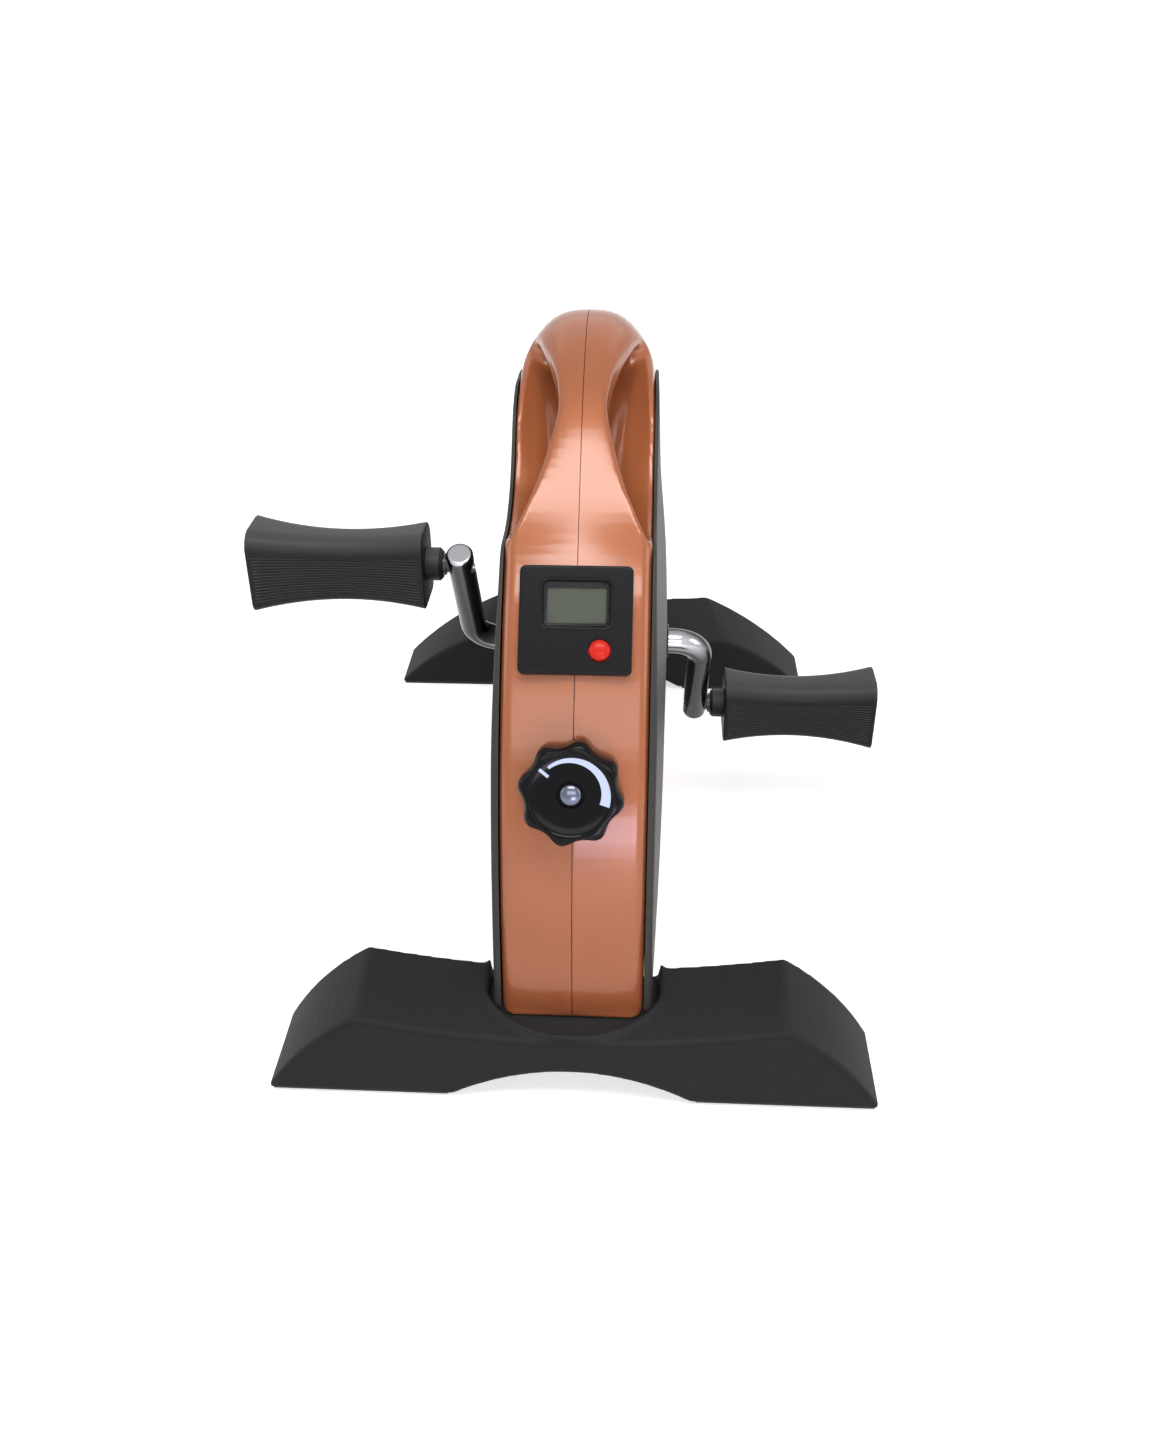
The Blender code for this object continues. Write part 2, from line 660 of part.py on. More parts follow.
def foot(name, toward, creases):
    """A foot on one side of the bike: toward is -1 at the front and 1 at the back."""
    outer = toward * FOOT_REACH
    inner = toward * (FOOT_REACH - FOOT_DEPTH)
    sections = zip((outer, inner), creases)
    body = loft([[(x, y, z) for x, z in foot_section(*crease)] for y, crease in sections])
    plan = Matrix.Translation((0, outer, 0)) @ Matrix.Diagonal((1, -toward, 1, 1))
    collar = prism(collar_line(COLLAR_RIM), FOOT_ARCH_RISE + FOOT_WALL, COLLAR_TOP, plan)
    socket = prism(collar_line(0), SEAT, FAR, plan)
    low, high = sorted((-outer + toward * FOOT_WALL, -inner - toward * FOOT_WALL))
    shallow = min(creases, key=lambda crease: crease[1])
    join(body, collar)
    cut(body, socket, *(foot_hollow(side, shallow, low, high) for side in (-1, 1)))
    cut(body, rod(FOOT_BOLT_RADIUS + GAP, 0, FAR, bolt_frame(toward), 16))
    cut(body, rod(BOLT_HEAD_RADIUS + 2 * GAP, 0, FOOT_ARCH_RISE + GAP, bolt_frame(toward), 16))
    part(name + "_foot", body, BLACK_PLASTIC)
    near, far = sorted((outer - toward * PAD_MARGIN, inner + toward * PAD_MARGIN))
    for side, sign in (("_left_pad", -1), ("_right_pad", 1)):
        inside, outside = FOOT_ARCH_HALF + PAD_MARGIN, FOOT_HALF_LENGTH - PAD_MARGIN
        low_x, high_x = sorted((sign * inside, sign * outside))
        part(name + side, box((low_x, near, 0), (high_x, far, PAD_THICKNESS)), RUBBER)


def bolt_frame(toward):
    return Matrix.Translation((0, toward * FOOT_BOLT_Y, 0))


def foot_bolts():
    """A bolt from below through each foot and the housing's floor into a nut welded in the beam."""
    under = FOOT_ARCH_RISE - BOLT_HEAD_HEIGHT
    top = BEAM_BOTTOM + BEAM_WALL + WELD_NUT_HEIGHT
    for name, toward in (("front", -1), ("rear", 1)):
        profile = ((0, top), (FOOT_BOLT_RADIUS, top), (FOOT_BOLT_RADIUS, FOOT_ARCH_RISE),
                   (BOLT_HEAD_RADIUS, FOOT_ARCH_RISE), (BOLT_HEAD_RADIUS, under), (0, under))
        part(name + "_foot_bolt", turned(profile, bolt_frame(toward), 16), STEEL, bolt_frame(toward))


# Frame

def crank_frame():
    """Along the crank's axis: x to the back, y up, z to the right."""
    return SIDE @ Matrix.Translation((CRANK_Y, CRANK_Z, 0))


def flywheel_frame(knob_frame):
    centre = knob_frame @ Vector((0, 0, -FLYWHEEL_DEPTH))
    return SIDE @ Matrix.Translation((centre.y, centre.z, 0))


def base_beam():
    half = BEAM_WIDTH / 2
    inner = half - BEAM_WALL
    floor = BEAM_BOTTOM + BEAM_WALL
    beam = box((-half, -BEAM_REACH, BEAM_BOTTOM), (half, BEAM_REACH, BEAM_TOP))
    cut(beam, box((-inner, -FAR, floor), (inner, FAR, BEAM_TOP - BEAM_WALL)))
    for toward in (-1, 1):
        nut_bottom = floor - BEAM_WALL / 2
        join(beam, rod(BOLT_HEAD_RADIUS, nut_bottom, floor + WELD_NUT_HEIGHT, bolt_frame(toward), 6))
        cut(beam, rod(FOOT_BOLT_RADIUS + GAP, 0, floor + 2 * WELD_NUT_HEIGHT, bolt_frame(toward), 16))
    part("base_beam", beam, STEEL)


def crank_post():
    """The crank's bearing tube on its post, with a foot plate that lies on the beam."""
    inner = CRANK_BEARING_RADIUS + GAP
    bearing_tube = rod(inner + CRANK_TUBE_WALL, CRANK_TUBE_LEFT, CRANK_TUBE_RIGHT, crank_frame(), 32)
    low, high = CRANK_Y - POST_DEPTH / 2, CRANK_Y + POST_DEPTH / 2
    post = box((POST_X - POST_WIDTH / 2, low, BEAM_TOP + GAP), (POST_X + POST_WIDTH / 2, high, CRANK_Z))
    half = BEAM_WIDTH / 2 - GAP
    sole = box((-half, low - PLATE, BEAM_TOP + GAP), (half, high + PLATE, BEAM_TOP + GAP + PLATE))
    join(bearing_tube, post, sole)
    cut(bearing_tube, rod(inner, -ARM_X, ARM_X, crank_frame(), 32))
    part("crank_post", bearing_tube, STEEL, crank_frame())


def fork_plates(axle):
    """The two plates that carry the flywheel's axle, each with a tab on the beam."""
    centre = axle.translation
    low, high = centre.y - FORK_DEPTH / 2, centre.y + FORK_DEPTH / 2
    for name, x, sign in (("left_fork_plate", fork_left(), -1), ("right_fork_plate", fork_right(), 1)):
        outer = x + sign * PLATE
        near, far = sorted((x, outer))
        upright = box((near, low, BEAM_TOP + GAP), (far, high, centre.z))
        near, far = sorted((outer, sign * (BEAM_WIDTH / 2 - FORK_TAB)))
        tab = box((near, low, BEAM_TOP + GAP), (far, high, BEAM_TOP + GAP + PLATE))
        near, far = sorted((x, outer))
        join(upright, tab, rod(FORK_DEPTH / 2, near, far, axle))
        cut(upright, rod(AXLE_RADIUS + GAP, -FAR, FAR, axle))
        part(name, upright, STEEL)


def fork_left():
    return FLYWHEEL_X - FLYWHEEL_WIDTH / 2 - FORK_LEFT_ROOM


def fork_right():
    return BELT_X + BELT_WIDTH / 2 + PULLEY_FLANGE_WIDTH + 2 * RUNNING_GAP


# Crank

def crank_points():
    """The crank's centre line from the right arm's tip to the left arm's tip, in the crank's frame, with the
    left arm straight up."""
    tip = CRANK_THROW + ARM_END
    corner = ARM_X - CRANK_BEND
    turn = np.linspace(0, math.pi / 2, 7)
    bend = [(CRANK_BEND * (1 - math.cos(a)), corner + CRANK_BEND * math.sin(a)) for a in turn[::-1]]
    right = [(-tip, ARM_X), *((-up, across) for up, across in bend)]
    left = [(up, -across) for up, across in reversed(bend)] + [(tip, -ARM_X)]
    return [(0, up, across) for up, across in (*right, *left)]


def pedal_place(sign):
    """Where a pedal's spindle crosses the side plane."""
    forward, up = -math.cos(CRANK_ANGLE), math.sin(CRANK_ANGLE)
    return CRANK_Y - sign * forward * CRANK_THROW, CRANK_Z - sign * up * CRANK_THROW


def crank():
    frame = crank_frame() @ Matrix.Rotation(math.pi / 2 - CRANK_ANGLE, 4, "Z")
    bar = tube(crank_points(), CRANK_RADIUS, 12)
    bar.matrix_world = frame
    for sign in (-1, 1):
        y, z = pedal_place(sign)
        eye_frame = SIDE @ Matrix.Translation((y, z, sign * ARM_X))
        join(bar, rod(EYE_RADIUS, -EYE_WIDTH / 2, EYE_WIDTH / 2, eye_frame))
        cut(bar, rod(PEDAL_SPINDLE_RADIUS + GAP, -EYE_WIDTH * 2, EYE_WIDTH * 2, eye_frame, 16))
    part("crank", bar, CHROME, crank_frame())


def bush_radius():
    return CRANK_RADIUS + RUNNING_GAP + BUSH_WALL


def crank_fittings():
    frame = crank_frame()
    bore = CRANK_RADIUS + GAP
    for name, low in (("left_crank_bearing", CRANK_TUBE_LEFT),
                      ("right_crank_bearing", CRANK_TUBE_RIGHT - CRANK_BEARING_WIDTH)):
        bearing = ring(bore, CRANK_BEARING_RADIUS, low, low + CRANK_BEARING_WIDTH, frame)
        part(name, bearing, STEEL, frame)
    high = CRANK_TUBE_LEFT - GAP
    part("crank_circlip", ring(bore, CIRCLIP_RADIUS, high - CIRCLIP_WIDTH, high, frame, 16), STEEL, frame)
    out = HALF + COVER_RISE + RUNNING_GAP
    for name, sign in (("left_crank_bush", -1), ("right_crank_bush", 1)):
        low, high = sorted((sign * (HALF - SHELL_WALL), sign * out))
        bush = ring(CRANK_RADIUS + RUNNING_GAP, bush_radius(), low, high, frame)
        part(name, bush, BLACK_PLASTIC, frame)


# Belt drive and flywheel

def pulley_profile(radius, hub, hub_low, bore):
    """A belt pulley's half section: rim with two flanges, a web and a hub."""
    half = BELT_WIDTH / 2 + GAP
    edge = half + PULLEY_FLANGE_WIDTH
    rim = radius - PULLEY_WEB
    web = PULLEY_WEB / 2
    flange = radius + PULLEY_FLANGE
    groove = [(flange, half), (radius, half), (radius, -half), (flange, -half)]
    outside = [(flange, edge), *groove, (flange, -edge)]
    if rim <= hub:
        return [*outside, (hub, -edge), (hub, hub_low), (bore, hub_low), (bore, edge)]
    return [*outside, (rim, -edge), (rim, -web), (hub, -web), (hub, hub_low), (bore, hub_low),
            (bore, edge), (hub, edge), (hub, web), (rim, web), (rim, edge)]


def drive_pulley(frame):
    plane = frame @ Matrix.Translation((0, 0, BELT_X))
    hub = CRANK_BEARING_RADIUS
    low = CRANK_TUBE_RIGHT + RUNNING_GAP - BELT_X
    profile = pulley_profile(DRIVE_PULLEY_RADIUS, hub, low, CRANK_RADIUS + GAP)
    pulley = turned(profile, plane, 30)
    seat = Matrix.Translation((MAGNET_ORBIT, 0, 0))
    back = -PULLEY_WEB / 2 - MAGNET_THICKNESS
    join(pulley, rod(MAGNET_RADIUS + MAGNET_SEAT_WALL, back, 0, plane @ seat, 16))
    cut(pulley, rod(MAGNET_RADIUS + GAP, back - GAP, -PULLEY_WEB / 2 + GAP, plane @ seat, 16))
    part("drive_pulley", pulley, BLACK_PLASTIC, frame)
    part("speed_magnet", rod(MAGNET_RADIUS, back, -PULLEY_WEB / 2, plane @ seat, 16), STEEL, frame)


def flywheel(frame):
    half = FLYWHEEL_WIDTH / 2
    web = FLYWHEEL_WEB / 2
    rim = FLYWHEEL_RADIUS - FLYWHEEL_RIM
    hub = FLYWHEEL_HUB_RADIUS
    seat = AXLE_BEARING_RADIUS + GAP
    left = [(FLYWHEEL_RADIUS, -half), (rim, -half), (rim - web, -web), (hub, -web), (hub, -half),
            (seat, -half)]
    profile = [*left, *((radius, -along) for radius, along in reversed(left))]
    plane = frame @ Matrix.Translation((0, 0, FLYWHEEL_X))
    part("flywheel", turned(profile, plane, 36), CAST_IRON, frame)
    inner = AXLE_RADIUS + GAP
    for name, low in (("left", -half), ("right", half - AXLE_BEARING_WIDTH)):
        bearing = ring(inner, AXLE_BEARING_RADIUS, low, low + AXLE_BEARING_WIDTH, plane)
        part(name + "_flywheel_bearing", bearing, STEEL, frame)
    low = FLYWHEEL_X + half + GAP - BELT_X
    profile = pulley_profile(FLYWHEEL_PULLEY_RADIUS, FLYWHEEL_PULLEY_RADIUS - PULLEY_WEB, low, inner)
    part("flywheel_pulley", turned(profile, frame @ Matrix.Translation((0, 0, BELT_X))), STEEL, frame)


def flywheel_axle(frame):
    left, right = fork_left() - PLATE - GAP, fork_right() + PLATE + GAP
    end = AXLE_NUT_WIDTH + GAP
    part("flywheel_axle", rod(AXLE_RADIUS, left - end, right + end, frame), STEEL, frame)
    for name, low in (("left_axle_nut", left - AXLE_NUT_WIDTH), ("right_axle_nut", right)):
        nut = rod(NUT_RADIUS, low, low + AXLE_NUT_WIDTH, frame, 6)
        part(name, cut(nut, rod(AXLE_RADIUS + GAP, -FAR, FAR, frame)), STEEL)


def belt_line(big, small, distance, grow, count=28):
    """A belt's outline round two pulleys, the big one at the origin and the small one at +u."""
    lean = math.acos((big - small) / distance)
    around_big = arc((0, 0), big + grow, lean, 2 * math.pi - lean, count)
    around_small = arc((distance, 0), small + grow, -lean, lean, count // 2)
    return [*around_big, *around_small]


def drive_belt(crank_axis, flywheel_axis):
    line = flywheel_axis.translation - crank_axis.translation
    distance = math.hypot(line.y, line.z)
    frame = crank_axis @ Matrix.Rotation(math.atan2(line.z, line.y), 4, "Z")
    radii = (DRIVE_PULLEY_RADIUS, FLYWHEEL_PULLEY_RADIUS)
    low, high = BELT_X - BELT_WIDTH / 2, BELT_X + BELT_WIDTH / 2
    outside = prism(belt_line(*radii, distance, RUNNING_GAP + BELT_THICKNESS), low, high, frame)
    inside = prism(belt_line(*radii, distance, RUNNING_GAP), -FAR, FAR, frame)
    part("drive_belt", cut(outside, inside), RUBBER, crank_axis)


# Knob and brake

def knob_line(radius, lobe):
    turn = np.linspace(0, 2 * math.pi, KNOB_LOBES * 6, endpoint=False)
    edge = radius + lobe * np.cos(KNOB_LOBES * turn)
    return np.stack((edge * np.cos(turn), edge * np.sin(turn)), axis=1)


def knob_parts(frame):
    low = BUSH_FLANGE_HEIGHT + GAP + RUNNING_GAP
    high = low + KNOB_THICKNESS
    rings = []
    for share, scale, lobe in KNOB_LEVEL_SHARES:
        z = low + share * KNOB_THICKNESS
        rings.append([(u, v, z) for u, v in knob_line(KNOB_RADIUS * scale, KNOB_LOBE * lobe)])
    knob = tool(loft(rings).data, frame)
    face = high - KNOB_DISH
    cut(knob, rod(KNOB_DISH_RADIUS, face, 2 * high, frame, 32))
    cap = face - KNOB_CAP_DEPTH
    cut(knob, rod(KNOB_SCREW_RADIUS + GAP, face - KNOB_SCREW_HEIGHT / 2, high, frame))
    cut(knob, rod(KNOB_BORE, -FAR, cap, frame))
    cut(knob, rod(SCREW_RADIUS + GAP, 0, high, frame, 12))
    part("tension_knob", knob, GLOSS_BLACK, frame)
    seat = face - KNOB_SCREW_HEIGHT / 2 + GAP
    dome = [(0, seat + KNOB_SCREW_HEIGHT)]
    for turn in np.radians((30, 60, 90)):
        reach = KNOB_SCREW_RADIUS * math.sin(turn)
        rise = KNOB_SCREW_RIM + (1 - KNOB_SCREW_RIM) * math.cos(turn)
        dome.append((reach, seat + KNOB_SCREW_HEIGHT * rise))
    shank = [(KNOB_SCREW_RADIUS, seat), (SCREW_RADIUS, seat), (SCREW_RADIUS, cap + GAP), (0, cap + GAP)]
    part("knob_screw", turned([*dome, *shank], frame, 24), CHROME, frame)
    spindle = rod(SPINDLE_RADIUS, spindle_tip(), cap - GAP, frame)
    part("knob_spindle", spindle, STEEL, frame)
    inner = SPINDLE_RADIUS + RUNNING_GAP
    wall = spindle_bush_radius()
    flange = wall + BUSH_FLANGE
    top = BUSH_FLANGE_HEIGHT + GAP
    outside = ((flange, top), (flange, GAP), (wall, GAP), (wall, -BUSH_DEPTH))
    bush = turned((*outside, (inner, -BUSH_DEPTH), (inner, top)), frame)
    part("spindle_bush", cut(bush, grown_housing_front(frame)), BLACK_PLASTIC, frame)


def spindle_bush_radius():
    return SPINDLE_RADIUS + RUNNING_GAP + SPINDLE_BUSH_WALL


def grown_housing_front(frame):
    """The housing's skin moved out by a gap, with a hole for the bush, to seat the bush's flange on."""
    skin = housing_solid(-GAP)
    return cut(skin, rod(spindle_bush_radius(), -2 * BUSH_DEPTH, 2 * BUSH_DEPTH, frame))


def pad_face():
    """Where the brake pad's face is at rest, along the knob's axis."""
    return FLYWHEEL_RADIUS - FLYWHEEL_DEPTH + BRAKE_TRAVEL + PAD_REACH


def spindle_tip():
    return pad_face() + BRAKE_PAD_THICKNESS + 3 * RUNNING_GAP


def brake(frame):
    pad_back = pad_face() + BRAKE_PAD_THICKNESS
    width = FLYWHEEL_WIDTH
    pad = plate(FLYWHEEL_X, 0, pad_face(), width, BRAKE_PAD_HEIGHT, BRAKE_PAD_THICKNESS, frame)
    part("brake_pad", pad, FELT, frame)
    low = pad_back + GAP
    carrier = plate(0, 0, low, CARRIER_WIDTH, CARRIER_HEIGHT, CARRIER_DEPTH, frame)
    cut(carrier, rod(SPINDLE_RADIUS + GAP, -FAR, FAR, frame))
    part("brake_carrier", carrier, STEEL, frame)
    side = CARRIER_WIDTH / 2 + GAP
    under = CARRIER_HEIGHT / 2 + GAP
    near, far = low - BRAKE_TRAVEL, low + CARRIER_DEPTH
    outer = side + GUIDE_WALL
    guide = box((-outer, -under - GUIDE_WALL, near), (outer, under / 2, far), frame)
    middle = frame @ Vector((0, -under - GUIDE_WALL / 2, (near + far) / 2))
    strut_low, strut_high = middle.y - STRUT_DEPTH / 2, middle.y + STRUT_DEPTH / 2
    half = BEAM_WIDTH / 2 - GAP
    seat = BEAM_TOP + GAP
    strut = box((-side, strut_low, seat), (side, strut_high, middle.z))
    sole = box((-half, strut_low - PLATE, seat), (half, strut_high + PLATE, seat + PLATE))
    join(guide, strut, sole)
    cut(guide, box((-side, -under, -FAR), (side, FAR, FAR), frame))
    part("brake_guide", guide, STEEL, frame)


# Console

def console(frame):
    width, length = CONSOLE_BODY_WIDTH, CONSOLE_BODY_LENGTH
    face = CONSOLE_RAISED - CONSOLE_FACE
    flange = plate(CONSOLE_X, 0, -CONSOLE_CORNER, CONSOLE_WIDTH, CONSOLE_LENGTH,
                   CONSOLE_CORNER + CONSOLE_RAISED, frame)
    rounded(flange, CONSOLE_CORNER, 3)
    cut(flange, housing_solid(-GAP))
    join(flange, plate(CONSOLE_X, 0, -CONSOLE_BODY_DEPTH, width, length, CONSOLE_BODY_DEPTH + face, frame))
    inner_width, inner_length = width - 2 * CONSOLE_WALL, length - 2 * CONSOLE_WALL
    cut(flange, plate(CONSOLE_X, 0, -FAR, inner_width, inner_length, FAR + face, frame))
    gaps = 2 * GAP
    recess = CONSOLE_RAISED - LENS_THICKNESS - gaps
    cut(flange, plate(CONSOLE_X, WINDOW_Y, recess, LENS_WIDTH + gaps, LENS_LENGTH + gaps, FAR, frame))
    cut(flange, plate(CONSOLE_X, WINDOW_Y, 0, WINDOW_WIDTH, WINDOW_LENGTH, FAR, frame))
    button_frame = frame @ Matrix.Translation((CONSOLE_X + BUTTON_X, BUTTON_Y, 0))
    cut(flange, rod(BUTTON_RADIUS + GAP, -FAR, FAR, button_frame))
    part("console_housing", flange, BLACK_PLASTIC, frame)

    lens = plate(CONSOLE_X, WINDOW_Y, recess + GAP, LENS_WIDTH, LENS_LENGTH, LENS_THICKNESS, frame)
    part("display_lens", lens, CLEAR, frame)
    panel_low = face - GAP - PANEL_THICKNESS
    panel = plate(CONSOLE_X, WINDOW_Y, panel_low, LENS_WIDTH, LENS_LENGTH, PANEL_THICKNESS, frame)
    part("display_panel", panel, DISPLAY_GREY, frame)
    board_low = panel_low - GAP - BOARD_THICKNESS
    board_width, board_length = inner_width - 2 * GAP, inner_length - 2 * GAP
    board = plate(CONSOLE_X, 0, board_low, board_width, board_length, BOARD_THICKNESS, frame)
    part("circuit_board", board, BOARD_GREEN, frame)
    cell_low = board_low - GAP - CELL_THICKNESS
    cell_frame = frame @ Matrix.Translation((CONSOLE_X, 0, cell_low))
    part("battery_cell", rod(CELL_RADIUS, 0, CELL_THICKNESS, cell_frame), STEEL, frame)
    back_low = cell_low - GAP - BACK_PLATE
    back = plate(CONSOLE_X, 0, back_low, board_width, board_length, BACK_PLATE, frame)
    part("console_back", back, BLACK_PLASTIC, frame)
    reset_button(button_frame, face, board_low + BOARD_THICKNESS)
    return back_low


def reset_button(frame, face, board_top):
    under = board_top + GAP + BUTTON_TRAVEL
    flange = BUTTON_RADIUS + BUTTON_FLANGE
    shoulder = face - GAP
    top = CONSOLE_RAISED + BUTTON_RAISED
    rim = CONSOLE_RAISED + GAP
    dome = [(0, top)]
    for turn in np.radians((25, 50, 75, 90)):
        dome.append((BUTTON_RADIUS * math.sin(turn), rim + (top - rim) * math.cos(turn)))
    low = max(under, shoulder - BUTTON_FLANGE_HEIGHT)
    stem = [(BUTTON_RADIUS, shoulder), (flange, shoulder), (flange, low), (0, low)]
    part("reset_button", turned([*dome, *stem], frame, 24), RED_PLASTIC, frame)


# Speed sensor

def speed_sensor(console_frame, back_low):
    low = POST_X + POST_WIDTH / 2 + GAP
    magnet_face = BELT_X - PULLEY_WEB / 2 - MAGNET_THICKNESS
    height = CRANK_Z - MAGNET_ORBIT
    half = SENSOR_SIZE / 2
    high = magnet_face - SENSOR_DISTANCE
    sensor = box((low, CRANK_Y - half, height - half), (high, CRANK_Y + half, height + half))
    part("reed_sensor", sensor, BLACK_PLASTIC)
    end = console_frame @ Vector((0, 0, back_low - GAP))
    way = console_frame @ Vector((0, 0, back_low - SENSOR_SIZE))
    back = CRANK_Y + LEAD_BULGE
    points = ((CRANK_Y + half + GAP, height), (CRANK_Y + 2 * half, height),
              (back, CRANK_Z - LEAD_BULGE / 2), (back, CRANK_Z + LEAD_BULGE / 2),
              (CRANK_Y, CRANK_Z + LEAD_CREST), ((CRANK_Y + way.y) / 2, way.z - LEAD_SAG),
              (way.y, way.z), (end.y, end.z))
    path = [(LEAD_X, y, z) for y, z in smooth(points, 3)]
    part("sensor_lead", tube(path, LEAD_RADIUS, 8), BLACK_PLASTIC)


# Pedals

def pedal_section(grow):
    """A pedal's rounded cross-section, as (back, up) pairs."""
    radius = PEDAL_CORNER
    back = PEDAL_DEPTH / 2 + grow - radius
    up = PEDAL_HEIGHT / 2 + grow - radius
    corners = ((back, up, 0), (-back, up, 90), (-back, -up, 180), (back, -up, 270))
    points = []
    for u, v, start in corners:
        points.extend(arc((u, v), radius, math.radians(start), math.radians(start + 90), 5))
    return points


def pedal(side, sign):
    y, z = pedal_place(sign)
    frame = SIDE @ Matrix.Translation((y, z, 0))
    rings = []
    for share in np.linspace(0, 1, 7):
        x = PEDAL_INNER + share * PEDAL_LENGTH
        along = 2 * share - 1
        grow = PEDAL_FLARE * along - PEDAL_WAIST * (1 - along**2)
        rings.append([(u, v, sign * x) for u, v in pedal_section(grow)])
    body = tool(loft(rings).data, frame)
    outer = PEDAL_INNER + PEDAL_LENGTH
    hub_start = ARM_X + CRANK_RADIUS + PEDAL_HUB_GAP
    low, high = sorted((sign * hub_start, sign * (PEDAL_INNER + PEDAL_CAP_THICKNESS)))
    join(body, rod(PEDAL_HUB_RADIUS, low, high, frame))
    bore = PEDAL_SPINDLE_RADIUS + GAP
    cut(body, rod(bore, -FAR, FAR, frame, 16))
    pocket = outer - PEDAL_CAP_THICKNESS - PEDAL_NUT_WIDTH - 3 * GAP
    low, high = sorted((sign * pocket, sign * FAR))
    cut(body, rod(PEDAL_CAP_RADIUS + GAP, low, high, frame))
    part(side + "_pedal", body, BLACK_PLASTIC, frame)

    spindle_end = pocket + PEDAL_NUT_WIDTH + GAP
    low, high = sorted((sign * (ARM_X - EYE_WIDTH / 2), sign * spindle_end))
    spindle = rod(PEDAL_SPINDLE_RADIUS, low, high, frame, 16)
    part(side + "_pedal_spindle", spindle, STEEL, frame)
    low, high = sorted((sign * (pocket + GAP), sign * (pocket + GAP + PEDAL_NUT_WIDTH)))
    nut = rod(PEDAL_CAP_RADIUS - RUNNING_GAP, low, high, frame, 6)
    part(side + "_pedal_nut", cut(nut, rod(bore, -FAR, FAR, frame, 16)), STEEL, frame)
    low, high = sorted((sign * (outer - PEDAL_CAP_THICKNESS), sign * outer))
    part(side + "_pedal_cap", rod(PEDAL_CAP_RADIUS, low, high, frame), BLACK_PLASTIC, frame)


# Screws

def shell_screws():
    for number, (y, z) in enumerate(SHELL_SCREWS, 1):
        frame = SIDE @ Matrix.Translation((y, z, 0))
        top = HALF + GAP + SCREW_HEAD_HEIGHT
        head = ((0, top), (SCREW_HEAD_RADIUS, top), (SCREW_HEAD_RADIUS, HALF + GAP))
        profile = (*head, (SCREW_RADIUS, HALF + GAP), (SCREW_RADIUS, -SCREW_BITE), (0, -SCREW_BITE))
        part(f"shell_screw_{number}", turned(profile, frame, 12), STEEL)


def build():
    console_frame = front_frame(CONSOLE_Z)
    knob_frame = front_frame(KNOB_Z)
    axle = flywheel_frame(knob_frame)
    shells(console_frame, knob_frame)
    covers()
    foot("front", -1, FRONT_CREASES)
    foot("rear", 1, REAR_CREASES)
    foot_bolts()
    base_beam()
    crank_post()
    fork_plates(axle)
    crank()
    crank_fittings()
    drive_pulley(crank_frame())
    flywheel(axle)
    flywheel_axle(axle)
    drive_belt(crank_frame(), axle)
    knob_parts(knob_frame)
    brake(knob_frame)
    back_low = console(console_frame)
    speed_sensor(console_frame, back_low)
    pedal("left", -1)
    pedal("right", 1)
    shell_screws()


build()
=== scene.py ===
# %% [markdown]
# # A mini exercise bike
#
# This is a small pedal trainer that stands on the floor in front of a chair. A copper housing in two
# halves stands on two black feet, a chrome crank with two pedals goes through it, and a knob on its front
# sets the brake. Its solids come from a CAD model, which also says how each piece moves. This lesson makes
# the surfaces that a person sees: each new piece rides on a CAD body, and stands for the solids it covers.

# %% Load the CAD model
import json
import math

import bmesh
import bpy
import numpy as np
from mathutils import Matrix, Vector
from mathutils.bvhtree import BVHTree
from mathutils.kdtree import KDTree


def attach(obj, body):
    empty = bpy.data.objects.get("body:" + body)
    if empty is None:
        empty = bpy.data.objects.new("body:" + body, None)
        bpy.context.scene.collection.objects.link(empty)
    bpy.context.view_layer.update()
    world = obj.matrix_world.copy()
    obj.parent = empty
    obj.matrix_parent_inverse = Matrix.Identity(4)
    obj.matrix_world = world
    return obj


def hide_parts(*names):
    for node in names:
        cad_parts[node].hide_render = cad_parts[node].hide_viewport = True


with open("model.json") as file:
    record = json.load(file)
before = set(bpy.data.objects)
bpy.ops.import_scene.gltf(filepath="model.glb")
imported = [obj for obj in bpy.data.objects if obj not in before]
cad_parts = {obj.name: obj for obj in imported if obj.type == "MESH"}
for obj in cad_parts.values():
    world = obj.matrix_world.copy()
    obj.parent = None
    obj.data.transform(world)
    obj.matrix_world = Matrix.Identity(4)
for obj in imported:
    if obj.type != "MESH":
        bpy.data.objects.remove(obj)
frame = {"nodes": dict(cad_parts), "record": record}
scene = bpy.context.scene
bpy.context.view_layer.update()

# %% [markdown]
# ## Lines and solids
#
# Most pieces of a moulded product start from a line: the housing's side, the knob's edge, a pedal's
# section. A curve object could hold such a line, but the housing is needed at several offsets, so it is
# simpler to work a line out as points and give the points to a bmesh. Small makers turn lines into closed
# solids: a prism has a flat outline, a loft is extruded from ring to ring, and a turned piece is spun about
# its axis. Boolean modifiers then join the solids and cut them.

# %% Lines


def smooth(points, steps):
    """Points along a smooth curve through the points given."""
    knots = np.array(points, dtype=float)
    before = np.vstack((knots[:1], knots[:-1]))
    after = np.vstack((knots[1:], knots[-1:]))
    slopes = after - before
    slopes /= np.linalg.norm(slopes, axis=1)[:, None]
    share = np.arange(steps)[:, None] / steps
    line = []
    for a, b, slope_a, slope_b in zip(knots, knots[1:], slopes, slopes[1:]):
        reach = np.linalg.norm(b - a) / 3
        p, q = a + slope_a * reach, b - slope_b * reach
        rest = 1 - share
        line.extend(a * rest**3 + 3 * p * rest**2 * share + 3 * q * rest * share**2 + b * share**3)
    return np.array([*line, knots[-1]])


